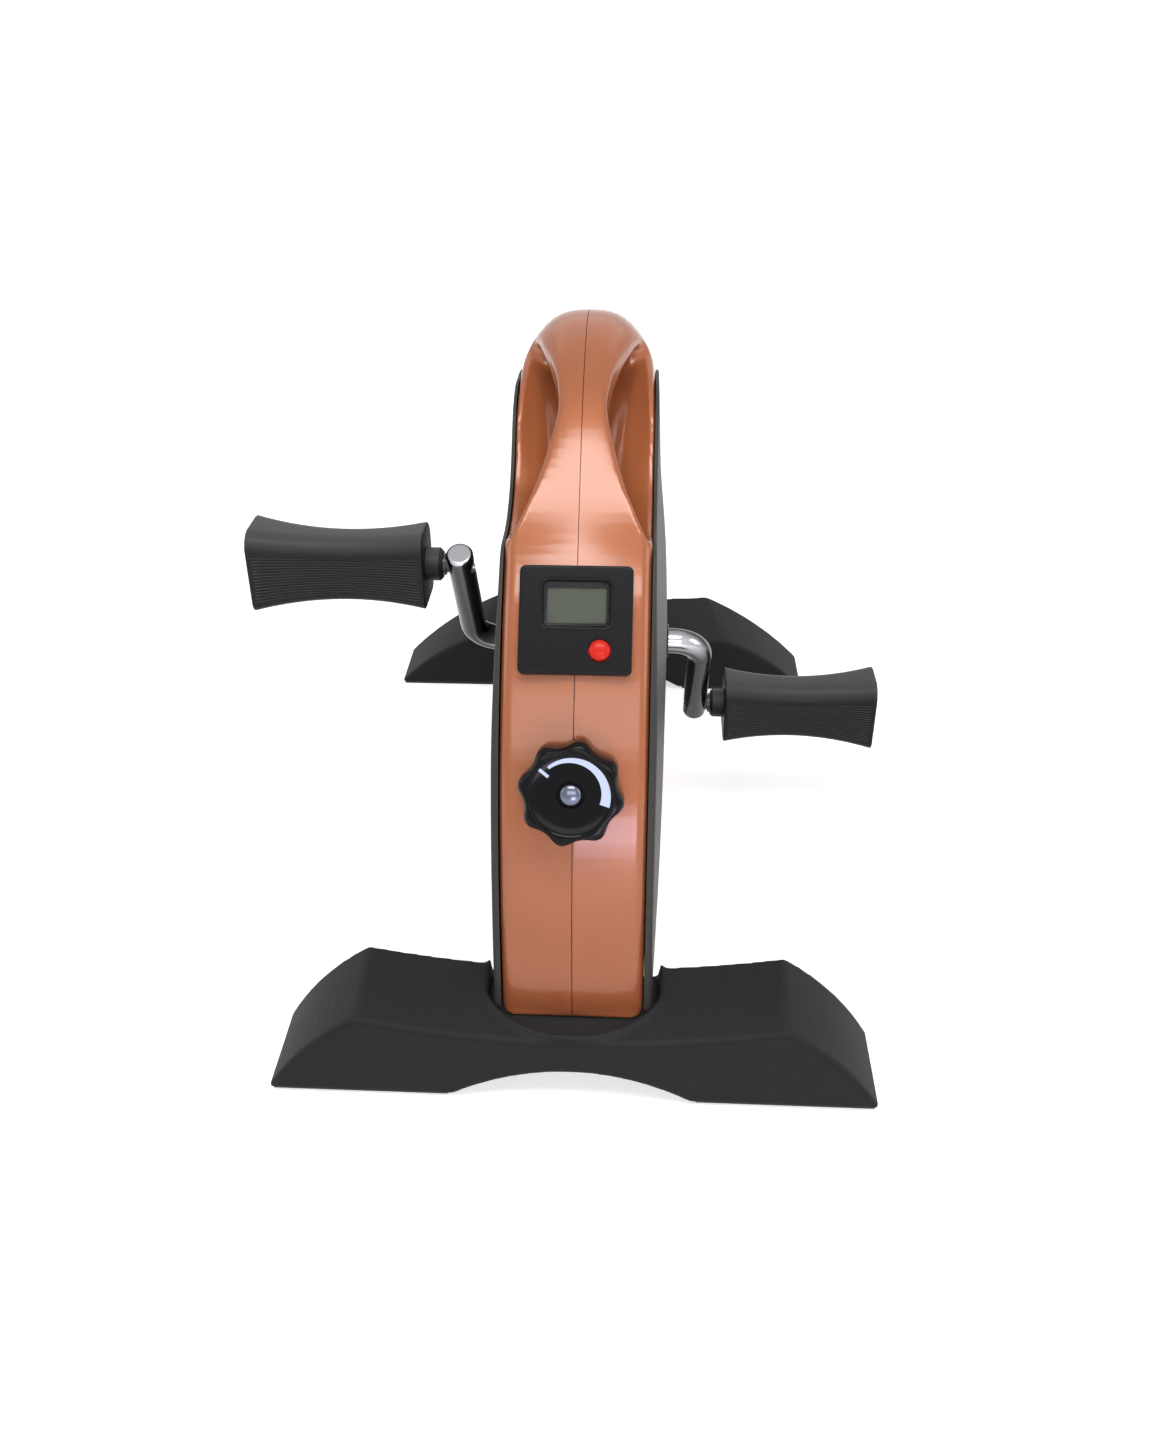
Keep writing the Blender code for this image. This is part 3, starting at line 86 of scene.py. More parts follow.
def inset(outline, distance):
    """A closed clockwise outline moved inwards, by one distance or by one for each point."""
    ahead = np.roll(outline, -1, axis=0) - outline
    ahead /= np.linalg.norm(ahead, axis=1)[:, None]
    behind = np.roll(ahead, 1, axis=0)
    inward = np.stack((ahead[:, 1] + behind[:, 1], -ahead[:, 0] - behind[:, 0]), axis=1)
    mitre = inward / (1 + np.sum(ahead * behind, axis=1))[:, None]
    return outline + mitre * np.broadcast_to(distance, len(outline))[:, None]


def raised(line, distance):
    """An open line moved to its left."""
    slope = np.gradient(line, axis=0)
    slope /= np.linalg.norm(slope, axis=1)[:, None]
    return line + distance * np.stack((-slope[:, 1], slope[:, 0]), axis=1)


def ease(value):
    """0 below 0 and 1 above 1, with a smooth change between."""
    value = np.clip(value, 0, 1)
    return value * value * (3 - 2 * value)


def arc(centre, radius, start, end, count):
    """Points on a part of a circle."""
    turn = np.linspace(start, end, count)
    return np.stack((centre[0] + radius * np.cos(turn), centre[1] + radius * np.sin(turn)), axis=1)


def rounded_rectangle(size, centre, count):
    """An outline with round corners, counter-clockwise from the right. A size is (width, height, radius)."""
    width, height, radius = size
    across, up = width / 2 - radius, height / 2 - radius
    points = []
    for x, y, start in ((across, up, 0), (-across, up, 90), (-across, -up, 180), (across, -up, 270)):
        corner = (centre[0] + x, centre[1] + y)
        points.extend(arc(corner, radius, math.radians(start), math.radians(start + 90), count))
    return points


print("Line tools: smooth, inset, raised, ease, arc, rounded_rectangle")

# %% Solids
# PLAN takes (x, y) outlines with z as the thickness, and SIDE takes (y, z) outlines with x as the thickness
PLAN = Matrix.Identity(4)
SIDE = Matrix(((0, 0, 1, 0), (1, 0, 0, 0), (0, 1, 0, 0), (0, 0, 0, 1)))
# A distance past every piece, for cutters
FAR = 0.6


def prism(outline, low, high, place=PLAN):
    """A flat outline with a thickness along the third axis of its place."""
    work = bmesh.new()
    face = work.faces.new([work.verts.new((u, v, low)) for u, v in outline])
    grown = bmesh.ops.extrude_face_region(work, geom=[face])
    top = [item for item in grown["geom"] if isinstance(item, bmesh.types.BMVert)]
    bmesh.ops.translate(work, vec=(0, 0, high - low), verts=top)
    return closed(work, place)


def loft(rings, place=PLAN):
    """A closed solid: the first ring is extruded into each of the others in turn."""
    work = bmesh.new()
    ring = [work.verts.new(point) for point in rings[0]]
    first = edges = [work.edges.new((ring[i - 1], ring[i])) for i in range(len(ring))]
    for points in rings[1:]:
        grown = bmesh.ops.extrude_edge_only(work, edges=edges)["geom"]
        fresh = {item for item in grown if isinstance(item, bmesh.types.BMVert)}
        edges = [item for item in grown
                 if isinstance(item, bmesh.types.BMEdge) and fresh.issuperset(item.verts)]
        ring = [next(edge.other_vert(vert) for edge in vert.link_edges if edge.other_vert(vert) in fresh)
                for vert in ring]
        for vert, point in zip(ring, points):
            vert.co = point
    bmesh.ops.holes_fill(work, edges=first + edges, sides=0)
    return closed(work, place)


def turned(profile, place=PLAN, steps=64):
    """A turned piece: (radius, along) pairs spun about the third axis of its place."""
    work = bmesh.new()
    verts = [work.verts.new((radius, 0, along)) for radius, along in profile]
    edges = [work.edges.new(pair) for pair in zip(verts, verts[1:])]
    if profile[0][0] > 0:
        edges.append(work.edges.new((verts[-1], verts[0])))
    bmesh.ops.spin(work, geom=verts + edges, cent=(0, 0, 0), axis=(0, 0, 1), dvec=(0, 0, 0),
                   angle=2 * math.pi, steps=steps, use_merge=True)
    return closed(work, place)


def rod(radius, low, high, place=PLAN, sides=48):
    """A round rod along the third axis of its place."""
    return turned(((0, high), (radius, high), (radius, low), (0, low)), place, sides)


def closed(work, place):
    """Merges doubles, turns the faces outwards, and moves the shape to its place."""
    bmesh.ops.remove_doubles(work, verts=work.verts, dist=1e-6)
    bmesh.ops.transform(work, matrix=place, verts=work.verts)
    bmesh.ops.recalc_face_normals(work, faces=work.faces)
    return work


def block(low, high, place=PLAN):
    """A box-shaped cutter."""
    low, high = Vector(low), Vector(high)
    work = bmesh.new()
    bmesh.ops.create_cube(work, size=1)
    bmesh.ops.scale(work, vec=high - low, verts=work.verts)
    bmesh.ops.translate(work, vec=(low + high) / 2, verts=work.verts)
    return closed(work, place)


print("Makers of solids: prism, loft, turned, rod, block")

# %% Booleans


def scratch(work):
    """A passing object that holds a bmesh, for a modifier to work on."""
    mesh = bpy.data.meshes.new("scratch")
    work.to_mesh(mesh)
    work.free()
    obj = bpy.data.objects.new("scratch", mesh)
    scene.collection.objects.link(obj)
    return obj


def applied(*objects):
    """The first object's shape with its modifiers applied. All the objects are removed."""
    bpy.context.view_layer.update()
    work = bmesh.new()
    work.from_object(objects[0], bpy.context.evaluated_depsgraph_get())
    for obj in objects:
        mesh = obj.data
        bpy.data.objects.remove(obj, do_unlink=True)
        bpy.data.meshes.remove(mesh)
    return work


def combine(shape, operation, others):
    """The shape after one Boolean with each of the others. All of them are used up."""
    objects = [scratch(work) for work in (shape, *others)]
    for other in objects[1:]:
        modifier = objects[0].modifiers.new("combine", "BOOLEAN")
        modifier.operation = operation
        modifier.solver = "MANIFOLD"
        modifier.object = other
    return applied(*objects)


def cut(shape, *others):
    return combine(shape, "DIFFERENCE", others)


def join(shape, *others):
    return combine(shape, "UNION", others)


def keep_inside(shape, *others):
    return combine(shape, "INTERSECT", others)


print("Booleans: cut, join, keep_inside")

# %% [markdown]
# ## Moulded edges
#
# A Boolean leaves edges as sharp as a knife, but plastic from a mould has a small radius on each edge and a
# fillet in each corner. A Bevel modifier is the usual way, and it breaks where a Boolean has left thin
# triangles. So the solid is remeshed in voxels, smoothed only near its sharp edges, and every point further
# away is laid back on the exact surface. Flat faces stay flat, and each edge gets an even round.

# %% Moulded edges


def softened(shape, voxel, radius, angle=24, rounds=10):
    """The solid with its sharp edges rounded to about the radius."""
    exact = BVHTree.FromBMesh(shape)
    crest = []
    for edge in shape.edges:
        if len(edge.link_faces) == 2 and edge.calc_face_angle(0) > math.radians(angle):
            a, b = (vert.co for vert in edge.verts)
            count = max(1, int((b - a).length / (radius * 0.5)))
            crest.extend(a.lerp(b, i / count) for i in range(count + 1))
    tree = KDTree(len(crest))
    for i, point in enumerate(crest):
        tree.insert(point, i)
    tree.balance()
    obj = scratch(shape)
    remesh = obj.modifiers.new("voxels", "REMESH")
    remesh.mode = "VOXEL"
    remesh.voxel_size = voxel
    work = applied(obj)
    weights = {}
    for vert in work.verts:
        distance = tree.find(vert.co)[2] if crest else FAR
        weights[vert] = float(ease((distance - radius * 0.8) / (radius * 0.9)))
        vert.co = exact.find_nearest(vert.co)[0]
    near = [vert for vert, weight in weights.items() if weight < 1]
    for _ in range(rounds):
        bmesh.ops.smooth_vert(work, verts=near, factor=0.5, use_axis_x=True, use_axis_y=True,
                              use_axis_z=True)
    for vert in near:
        vert.co = vert.co.lerp(exact.find_nearest(vert.co)[0], weights[vert])
    print("softened:", len(work.verts), "points,", len(near), "of them near an edge")
    return work


print("Maker of moulded edges: softened")

# %% [markdown]
# ## Finished pieces
#
# A finished piece is an object at the origin whose place is in its mesh. It rides on a CAD body and stands
# for one or more CAD nodes.

# %% Finish a piece


def finish(name, work, body, slot, look, *nodes, sharp=32, bevel=0):
    """Makes the bmesh a named piece with a look, which rides on a body and stands for CAD nodes."""
    mesh = bpy.data.meshes.new(name)
    work.to_mesh(mesh)
    work.free()
    mesh.materials.clear()
    mesh.materials.append(look.material)
    mesh.shade_smooth()
    piece = bpy.data.objects.new(name, mesh)
    scene.collection.objects.link(piece)
    if bevel:
        edges = piece.modifiers.new("edges", "BEVEL")
        edges.width = bevel
        edges.segments = 2
        edges.limit_method = "ANGLE"
        edges.angle_limit = math.radians(40)
        edges.use_clamp_overlap = True
    mesh.set_sharp_from_angle(angle=math.radians(sharp))
    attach(piece, body)
    if nodes:
        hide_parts(*nodes)
    print(f"{name}: {len(mesh.vertices)} points, {len(mesh.polygons)} faces")


print("Maker of pieces: finish")

# %% [markdown]
# ## Shader maths
#
# A finish is a network of nodes. Arithmetic reads better as Python, so a small class wraps a socket, and an
# expression on it adds the Math nodes. Every other node comes from one method: its type, its settings, and
# the values or links of its sockets.

# %% Shader maths


class Wave:
    """A number that changes over a surface."""

    def __init__(self, finish, socket):
        self.finish, self.socket = finish, socket

    def maths(self, operation, a, b):
        return self.finish.maths(operation, a, b)

    def __add__(self, other):
        return self.maths("ADD", self, other)

    def __radd__(self, other):
        return self.maths("ADD", other, self)

    def __sub__(self, other):
        return self.maths("SUBTRACT", self, other)

    def __rsub__(self, other):
        return self.maths("SUBTRACT", other, self)

    def __mul__(self, other):
        return self.maths("MULTIPLY", self, other)

    def __rmul__(self, other):
        return self.maths("MULTIPLY", other, self)

    def __pow__(self, other):
        return self.maths("POWER", self, other)


print("Wraps a socket: Wave")

# %% A surface finish


class Finish:
    """One surface finish, with Object coordinates to hang patterns on."""

    def __init__(self, name, colour, metallic=0.0, **constants):
        self.material = bpy.data.materials.new(name)
        self.material.use_nodes = True
        self.tree = self.material.node_tree
        self.shader = self.tree.nodes["Principled BSDF"]
        self.set("Base Color", colour)
        self.set("Metallic", metallic)
        for socket, value in constants.items():
            self.set(socket.replace("_", " "), value)
        self.place = self.node("ShaderNodeTexCoord").outputs["Object"]
        print("finish:", name)

    def put(self, socket, value):
        """Gives a socket a link, a colour or a number."""
        if isinstance(value, Wave):
            value = value.socket
        if isinstance(value, bpy.types.NodeSocket):
            self.tree.links.new(value, socket)
        elif socket.type == "RGBA" and len(value) == 3:
            socket.default_value = (*value, 1)
        else:
            socket.default_value = value

    def set(self, name, value):
        """Gives one of the surface's own sockets a value or a link."""
        self.put(self.shader.inputs[name], value)

    def node(self, kind, settings=None, sockets=None):
        """A node of a type, with its settings and then its sockets."""
        made = self.tree.nodes.new(kind)
        for name, value in (settings or {}).items():
            setattr(made, name, value)
        for name, value in (sockets or {}).items():
            self.put(made.inputs[name], value)
        return made

    def maths(self, operation, a, b):
        return Wave(self, self.node("ShaderNodeMath", {"operation": operation}, {0: a, 1: b}).outputs[0])

    def noise(self, scale, detail=2.0, stretch=None):
        """A noise of 0 to 1 on the Object coordinates."""
        place = self.place
        if stretch:
            place = self.node("ShaderNodeMapping", None, {"Vector": place, "Scale": stretch}).outputs[0]
        sockets = {"Vector": place, "Scale": scale, "Detail": detail}
        return Wave(self, self.node("ShaderNodeTexNoise", None, sockets).outputs["Fac"])

    def cells(self, scale):
        """The distance to the nearest of many scattered points."""
        made = self.node("ShaderNodeTexVoronoi", None, {"Vector": self.place, "Scale": scale})
        return Wave(self, made.outputs["Distance"])

    def facing_up(self):
        """1 where the surface faces up, 0 where it is upright."""
        normal = self.node("ShaderNodeTexCoord").outputs["Normal"]
        return Wave(self, self.node("ShaderNodeSeparateXYZ", None, {"Vector": normal}).outputs["Z"])

    def levels(self, value, low, high):
        """The value spread so that low becomes 0 and high becomes 1."""
        sockets = {"Value": value, "From Min": low, "From Max": high}
        return Wave(self, self.node("ShaderNodeMapRange", {"clamp": True}, sockets).outputs[0])

    def mix(self, factor, a, b):
        """Colour a where the factor is 0, and colour b where it is 1."""
        return self.node("ShaderNodeMix", {"data_type": "RGBA"}, {0: factor, 6: a, 7: b}).outputs[2]

    def bump(self, height, distance):
        sockets = {"Height": height, "Distance": distance}
        self.set("Normal", self.node("ShaderNodeBump", None, sockets).outputs["Normal"])

    def grain(self, noise, low, spread, depth=0):
        """Lets the roughness follow a noise, and the surface too where it has a depth."""
        self.set("Roughness", low + noise * spread)
        if depth:
            self.bump(noise, depth)


print("Maker of finishes: Finish")

# %% [markdown]
# ## Copper paint
#
# The housing is moulded plastic under a metallic paint. Such a paint holds tiny flakes that tip each way, so
# it is brighter where it faces the light and deeper where it turns away, under a smooth clear coat. A flat
# orange would look like bare plastic. A metallic value of a quarter gives the change of brightness, the coat
# gives the pale sheen on the handle, a fine noise tips the flakes, and a slow one lets the tone drift.

# %% Copper paint
copper = Finish("copper paint", (0.34, 0.101, 0.038), 0.25, Specular_IOR_Level=0.0, Coat_Weight=0.85,
                Coat_Roughness=0.16)
flakes = copper.noise(1900, 1.0)
drift = copper.levels(copper.noise(9, 3.0), 0.3, 0.7)
deep, light = (0.32, 0.095, 0.034), (0.365, 0.113, 0.042)
tone = copper.mix(drift, deep, light)
sparkle = copper.levels(flakes, 0.35, 0.75)
copper.set("Base Color", copper.mix(sparkle * 0.09, tone, (0.62, 0.27, 0.15)))
copper.set("Roughness", 0.38 + drift * 0.06 + sparkle * 0.06)
copper.bump(flakes + copper.noise(260, 2.0) * 0.6, 0.00006)

# %% [markdown]
# ## Housing
#
# The housing is two mirrored mouldings that meet in a fine seam over the middle. Its side is one curve, its
# front and back are nearly flat across, and its top turns into a dome. I bridge that curve across the width,
# with a small round at each side. Each half's front leans back a little towards the side, which lets it
# leave its mould, and in the photo the two halves catch the light differently for that reason.

# %% Housing lines
HALF, BOTTOM, EDGE = 0.0395, 0.0435, 0.006
CROWN, CROWN_FROM, CROWN_BACK, CROWN_FULL, CROWN_POWER = 0.030, 0.305, 0.16, 0.352, 2.9
DRAFT, DRAFT_TOP, DRAFT_FADE, FRONT_END = 0.0028, 0.30, 0.03, -0.1
FRONT_LINE = ((-0.2360, BOTTOM), (-0.2335, 0.070), (-0.2245, 0.121), (-0.2095, 0.172), (-0.187, 0.218),
              (-0.160, 0.258), (-0.1345, 0.286))
HANDLE_LINE = ((-0.107, 0.3175), (-0.077, 0.346), (-0.047, 0.364), (-0.014, 0.3738), (0.018, 0.3697))
BACK_LINE = ((0.053, 0.356), (0.088, 0.333), (0.128, 0.295), (0.168, 0.245), (0.198, 0.190),
             (0.221, 0.130), (0.2335, 0.070), (0.2360, BOTTOM))
OUTLINE = smooth((*FRONT_LINE, *HANDLE_LINE, *BACK_LINE), 7)
SHOULDER_LINE = ((-0.165, 0.2895), (-0.1345, 0.287), (-0.107, 0.283), (-0.078, 0.293), (-0.060, 0.311),
                 (-0.047, 0.329), (-0.028, 0.344), (0.006, 0.3552))
FLOOR_LINE = ((-0.165, 0.2895), (-0.1345, 0.285), (-0.107, 0.276), (-0.080, 0.278), (-0.057, 0.293),
              (-0.037, 0.317), (-0.021, 0.336), (-0.010, 0.3505))
UNDERSIDE_LINE = ((-0.165, 0.258), (-0.130, 0.277), (-0.100, 0.3015), (-0.080, 0.321), (-0.055, 0.3415),
                  (-0.030, 0.3535), (0.010, 0.356))
HANDLE_WIDTHS = ((-0.170, 0.075), (-0.1345, 0.0405), (-0.1175, 0.0276), (-0.099, 0.0193),
                 (-0.078, 0.0135), (-0.060, 0.0152), (-0.045, 0.0193), (-0.030, 0.0244), (-0.014, 0.0288),
                 (-0.003, 0.0325), (0.005, 0.0380), (0.014, 0.0500), (0.020, 0.075))
CREASE = ((-0.200, 0.0165), (-0.078, 0.0168), (-0.060, 0.0195), (-0.045, 0.0235), (-0.030, 0.0268),
          (-0.010, 0.0315), (0.020, 0.0360))
RAMP, WALL = 0.009, 0.0025
print("housing:", 2 * HALF, "m thick, its side a line of", len(OUTLINE), "points")

# %% Housing solid


def front_frame(height):
    """The housing's front at a height: x to the right, y up the slope, z out of the face."""
    front = smooth(FRONT_LINE, 8)
    slope = np.gradient(front, axis=0)
    y = float(np.interp(height, front[:, 1], front[:, 0]))
    back, up = (np.interp(height, front[:, 1], run) for run in slope.T)
    return Matrix.Translation((0, y, height)) @ Matrix.Rotation(math.pi / 2 - math.atan2(back, up), 4, "X")


def crown(outline):
    """How far the dome's sides lie below its middle. It fades out sooner at the front than at the back."""
    start = np.where(outline[:, 0] < 0, CROWN_FROM, CROWN_BACK)
    return CROWN * ease((outline[:, 1] - start) / (CROWN_FULL - start))


def draft(outline):
    """How far the front leans back at the sides. It fades out below the handle."""
    on_front = (outline[:, 0] < FRONT_END) * (outline[:, 1] > BOTTOM)
    return DRAFT * ease((DRAFT_TOP - outline[:, 1]) / DRAFT_FADE) * on_front


def housing_solid(shrink, flats=8, turns=6):
    """The housing without its hand space, smaller all round by a distance."""
    half = HALF - shrink
    radius = max(EDGE - shrink, 0.001)
    flat = half - radius
    places = [(flat * i / flats, 0.0) for i in range(flats + 1)]
    for turn in np.linspace(0, math.pi / 2, turns + 1)[1:]:
        places.append((flat + radius * math.sin(turn), radius * (1 - math.cos(turn))))
    places = [(-x, step) for x, step in reversed(places[1:])] + places
    rings = []
    for x, step in places:
        out = abs(x / HALF)
        section = inset(OUTLINE, shrink + step + crown(OUTLINE) * out**CROWN_POWER + draft(OUTLINE) * out)
        section[[0, -1], 1] = BOTTOM + shrink
        rings.append([(x, y, z) for y, z in section])
    return loft(rings)


print("Maker of the housing at an offset: housing_solid")

# %% [markdown]
# The hand space is a channel across the top that dips in the middle, with the strap of the handle left
# standing in it. The strap is narrow where a hand holds it and flares into the housing at both ends. Under
# it the channel's floor drops away from a crease at each side. The channel is a loft across the width, and
# the strap is two crossing prisms: its side and its plan.

# %% Hand space


def hand_space(grow, steps=12):
    """The channel without the strap, larger all round by a distance."""
    reach = 0.06
    shoulder = raised(smooth(SHOULDER_LINE, steps), -grow)
    floor = raised(smooth(FLOOR_LINE, steps), -grow)
    crease = np.interp(shoulder[:, 0], *np.array(CREASE).T)
    # How far each line of the channel's floor lies from the middle, and how much it takes of the shoulder
    places = [(reach, 1), (HALF, 1), ((HALF + crease) / 2, 0.72), (crease, 0.48), (crease - RAMP / 2, 0.2),
              (crease - RAMP, 0)]
    rings = []
    for sign, step in ((-1, 1), (1, -1)):
        for across, share in places[::step]:
            line = shoulder * share + floor * (1 - share)
            ends = ((line[-1][0] + grow, line[-1][1]), (line[-1][0] + grow, FAR), (line[0][0], FAR))
            across = np.broadcast_to(across, len(line))
            across = sign * np.array([*across, across[-1], across[-1], across[0]])
            rings.append([(x, y, z) for x, (y, z) in zip(across, (*line, *ends))])
    underside = raised(smooth(UNDERSIDE_LINE, steps), grow)
    side = (*underside, (underside[-1][0], 2 * FAR), (underside[0][0], 2 * FAR))
    widths = smooth(HANDLE_WIDTHS, 2 * steps)
    plan = [(half - grow, y) for y, half in widths] + [(grow - half, y) for y, half in reversed(widths)]
    handle = keep_inside(prism(side, -reach, reach, SIDE), prism(plan, 0, 2 * FAR))
    return cut(loft(rings), handle)


print("handle:", 2 * min(half for _, half in HANDLE_WIDTHS), "m wide where it is narrowest")

# %% Two half shells
SIDES = (("left", -1), ("right", 1))
CONSOLE_HEIGHT, KNOB_HEIGHT = 0.2553, 0.180
CRANK_Y, CRANK_Z = -0.027, 0.1707
OPENING = Vector((0.0273, 0.0263, 0.0145))
KNOB_HOLE, KNOB_HOLE_REACH, BUSH_HOLE, SHELL_SCREW = 0.0083, 0.016, 0.0111, 0.0023
BOLT_Y, BOLT_HOLE, BOLT_TOP = 0.2125, 0.0043, 0.0475
SCREWS = ((-0.2150, 0.088), (-0.167, 0.211), (0.206, 0.090), (0.150, 0.228))
SEAM = 0.00018
GROOVE_TOP, GROOVE_HALF, GROOVE_DEPTH, GROOVE_OUT = 0.24, 0.0005, 0.0005, 0.001


def beside(sign, near, far):
    """The ends of a stretch of x on one side of the middle, the lower one first."""
    return sorted((sign * near, sign * far))


def axle_at(y, z, x=0):
    """A place whose third axis runs across the bike."""
    return SIDE @ Matrix.Translation((y, z, x))


console_frame = front_frame(CONSOLE_HEIGHT)
knob_frame = front_frame(KNOB_HEIGHT)
crank_frame = axle_at(CRANK_Y, CRANK_Z)
skin = softened(cut(housing_solid(0), hand_space(0)), voxel=0.0013, radius=0.0018)
cavity = cut(housing_solid(WALL, 2, 2), hand_space(WALL, 4))
holes = [block(-OPENING, OPENING, console_frame),
         rod(KNOB_HOLE, -KNOB_HOLE_REACH, KNOB_HOLE_REACH, knob_frame),
         rod(BUSH_HOLE, -FAR, FAR, crank_frame)]
holes += [rod(BOLT_HOLE, 0, BOLT_TOP, Matrix.Translation((0, y, 0)), 24) for y in (-BOLT_Y, BOLT_Y)]
holes += [rod(SHELL_SCREW, -FAR, FAR, axle_at(y, z), 24) for y, z in SCREWS]
hollow = cut(skin, cavity, *holes)
front = np.array([point for point in OUTLINE if point[0] < FRONT_END and point[1] < GROOVE_TOP])
groove = [*(front - (GROOVE_OUT, 0)), *reversed(front + (GROOVE_DEPTH, 0))]
hollow = cut(hollow, prism(groove, -GROOVE_HALF, GROOVE_HALF, SIDE))
for side, sign in SIDES:
    near, far = beside(sign, SEAM, FAR)
    half = keep_inside(hollow.copy(), block((near, -FAR, -FAR), (far, FAR, FAR)))
    finish(side + "_housing", half, "stand", "copper_paint", copper, side + "_shell")
hollow.free()

# %% [markdown]
# ## Side covers
#
# A black dished cover lies on each side of the housing, a little inside its edge. It is a thin moulding
# whose rim rises in a small round and whose middle bulges like a watch glass. I loft it from its edge line
# to ever smaller copies of it, and take a smaller copy of the solid away to leave its wall.

# %% Cover finish
cover_black = Finish("cover black", (0.040, 0.038, 0.034), Specular_IOR_Level=0.2)
cover_black.grain(cover_black.noise(900), 0.46, 0.1, 0.00008)

# %% Cover lines
COVER_MARGIN, COVER_WALL, COVER_EDGE, COVER_RISE = 0.004, 0.0022, 0.0040, 0.0104
COVER_MIDDLE, COVER_LOW, COVER_ROUNDS = (0, 0.185), 0.0458, 10
THIN, THIN_FROM, THIN_FULL = 0.5, 0.19, 0.29
DIP_MARGIN, DIP_FROM, DIP_FULL, DIP_START, DIP_END = 0.0008, 0.272, 0.288, -0.010, -0.030
GAP = 0.0003


def cover_line():
    """The edge of the housing's flat side, which dips under the handle."""
    side = inset(OUTLINE, crown(OUTLINE))
    root, end = FRONT_LINE[-1], SHOULDER_LINE[-1]
    front = [point for point in side if point[0] < root[0] - EDGE / 2 and point[1] < root[1]]
    dip = [(y, min(z, np.interp(y, *side.T))) for y, z in smooth(SHOULDER_LINE, 6) if root[0] <= y]
    back = [point for point in side if point[0] > end[0] + EDGE]
    line = np.array([*front, *dip, *back])
    for _ in range(COVER_ROUNDS):
        line[1:-1] = line[1:-1] / 2 + (line[:-2] + line[2:]) / 4
    line[:, 1] = np.maximum(line[:, 1], COVER_LOW)
    return line


def cover_taper(height):
    """How much of its rise a cover keeps at a height: it thins out towards the handle."""
    return 1 - THIN * ease((height - THIN_FROM) / (THIN_FULL - THIN_FROM))


print("cover: an edge of", len(cover_line()), "points")

# %% Two covers


def cover_solid(shrink, low, sign):
    """A cover without its hollow, smaller all round by a distance. Its margin is finer along the dip."""
    line = cover_line()
    high = ease((line[:, 1] - DIP_FROM) / (DIP_FULL - DIP_FROM))
    dip = high * ease((DIP_START - line[:, 0]) / (DIP_START - DIP_END))
    line = inset(line, COVER_MARGIN + (DIP_MARGIN - COVER_MARGIN) * dip + shrink)
    middle = np.array(COVER_MIDDLE)
    rings = [[(sign * low, y, z) for y, z in line]]
    # The size of each ring, and its shares of the edge's height and of the rise to the middle
    inner, outer = 0.15, 0.99
    rims = ((1, 0.55, 0), (0.9985, 0.72, 0), (0.996, 0.88, 0), (0.9925, 0.97, 0), (0.989, 1, 0.01))
    domes = [(scale, 1, 1 - ((scale - inner) / (outer - inner)) ** 2)
             for scale in np.linspace(0.975, inner, 12)]
    for scale, edge, rise in (*rims, *domes):
        out = edge * COVER_EDGE + rise * (COVER_RISE - COVER_EDGE)
        rings.append([(sign * (HALF + GAP + out * cover_taper(z) - shrink), y, z)
                      for y, z in middle + (line - middle) * scale])
    return loft(rings)


for side, sign in SIDES:
    cover = cut(cover_solid(0, HALF + GAP, sign), cover_solid(COVER_WALL, HALF - GAP, sign),
                rod(BUSH_HOLE, -FAR, FAR, crank_frame, 64))
    finish(side + "_side_cover", cover, "stand", "cover_plastic", cover_black, side + "_cover", sharp=28)

# %% [markdown]
# ## Feet
#
# Each foot is one wide moulding with an arch under its middle, a long facet at each end, and a ring on top
# that the housing stands in. Its two sides differ in outline, so it is a loft between them. The ring's wall
# ends in two small pointed ears on the inner side. The surface has the fine even grain of a spark-eroded
# mould, which I make as a bump and a little change of roughness. Its colour is painted paler where it faces
# up, in blotches of a slow noise: a painted sheen.

# %% Foot finish
foot_black = Finish("foot black", (0.014, 0.014, 0.015), Specular_IOR_Level=0.13)
foot_grain = foot_black.noise(1500)
# Painted light: the faces that look up are painted paler, a painted sheen broken into blotches by a slow
# noise
painted_top_light = foot_black.levels(foot_black.facing_up(), 0.3, 1.0) * (0.4 + foot_black.noise(14, 4.0) * 0.8)
deep, pale = (0.0085, 0.0085, 0.009), (0.030, 0.030, 0.031)
foot_black.set("Base Color", foot_black.mix(foot_grain * 0.4 + painted_top_light * 0.6, deep, pale))
foot_black.grain(foot_grain, 0.52, 0.16)
foot_black.bump(foot_grain + foot_black.cells(800) * 0.5, 0.00014)

# %% Foot outlines
FOOT_HALF, FOOT_DEPTH, FOOT_REACH, FOOT_WALL = 0.1725, 0.059, 0.2572, 0.0035
ARCH_HALF, ARCH_RISE, FOOT_BOW, SOLE = 0.067, 0.022, 0.005, 0.0018
RING_RADIUS, RING_CENTRE, RING_SIDE, RING_WALL, RING_TOP = 0.0528, 0.0566, 0.0482, 0.0028, 0.0492
EAR_TOP, EAR_TIP, EAR_DROP, EAR_LENGTH, EAR_ROOT, EAR_INSET = 0.0532, 0.0015, 0.0004, 0.0065, 0.004, 0.0001
BOLT_HEAD_HOLE, UNDER = 0.0081, -0.01
# Takes (x, z) outlines, with the thickness towards the front
ELEVATION = Matrix(((1, 0, 0, 0), (0, 0, -1, 0), (0, 1, 0, 0), (0, 0, 0, 1)))


def bow(start, end, depth, count):
    """Points from start to end on a line that bulges to its left by depth in the middle."""
    start, end = np.array(start), np.array(end)
    along = end - start
    across = np.array((-along[1], along[0])) / np.linalg.norm(along)
    return [start + along * share + across * depth * 4 * share * (1 - share)
            for share in np.linspace(0, 1, count)]


def foot_top(across, crease):
    """Points on top of a foot between its creases, lowest in the middle."""
    crease_x, crease_z, middle_z = crease
    return [(x, middle_z + (crease_z - middle_z) * (x / crease_x) ** 2) for x in across]


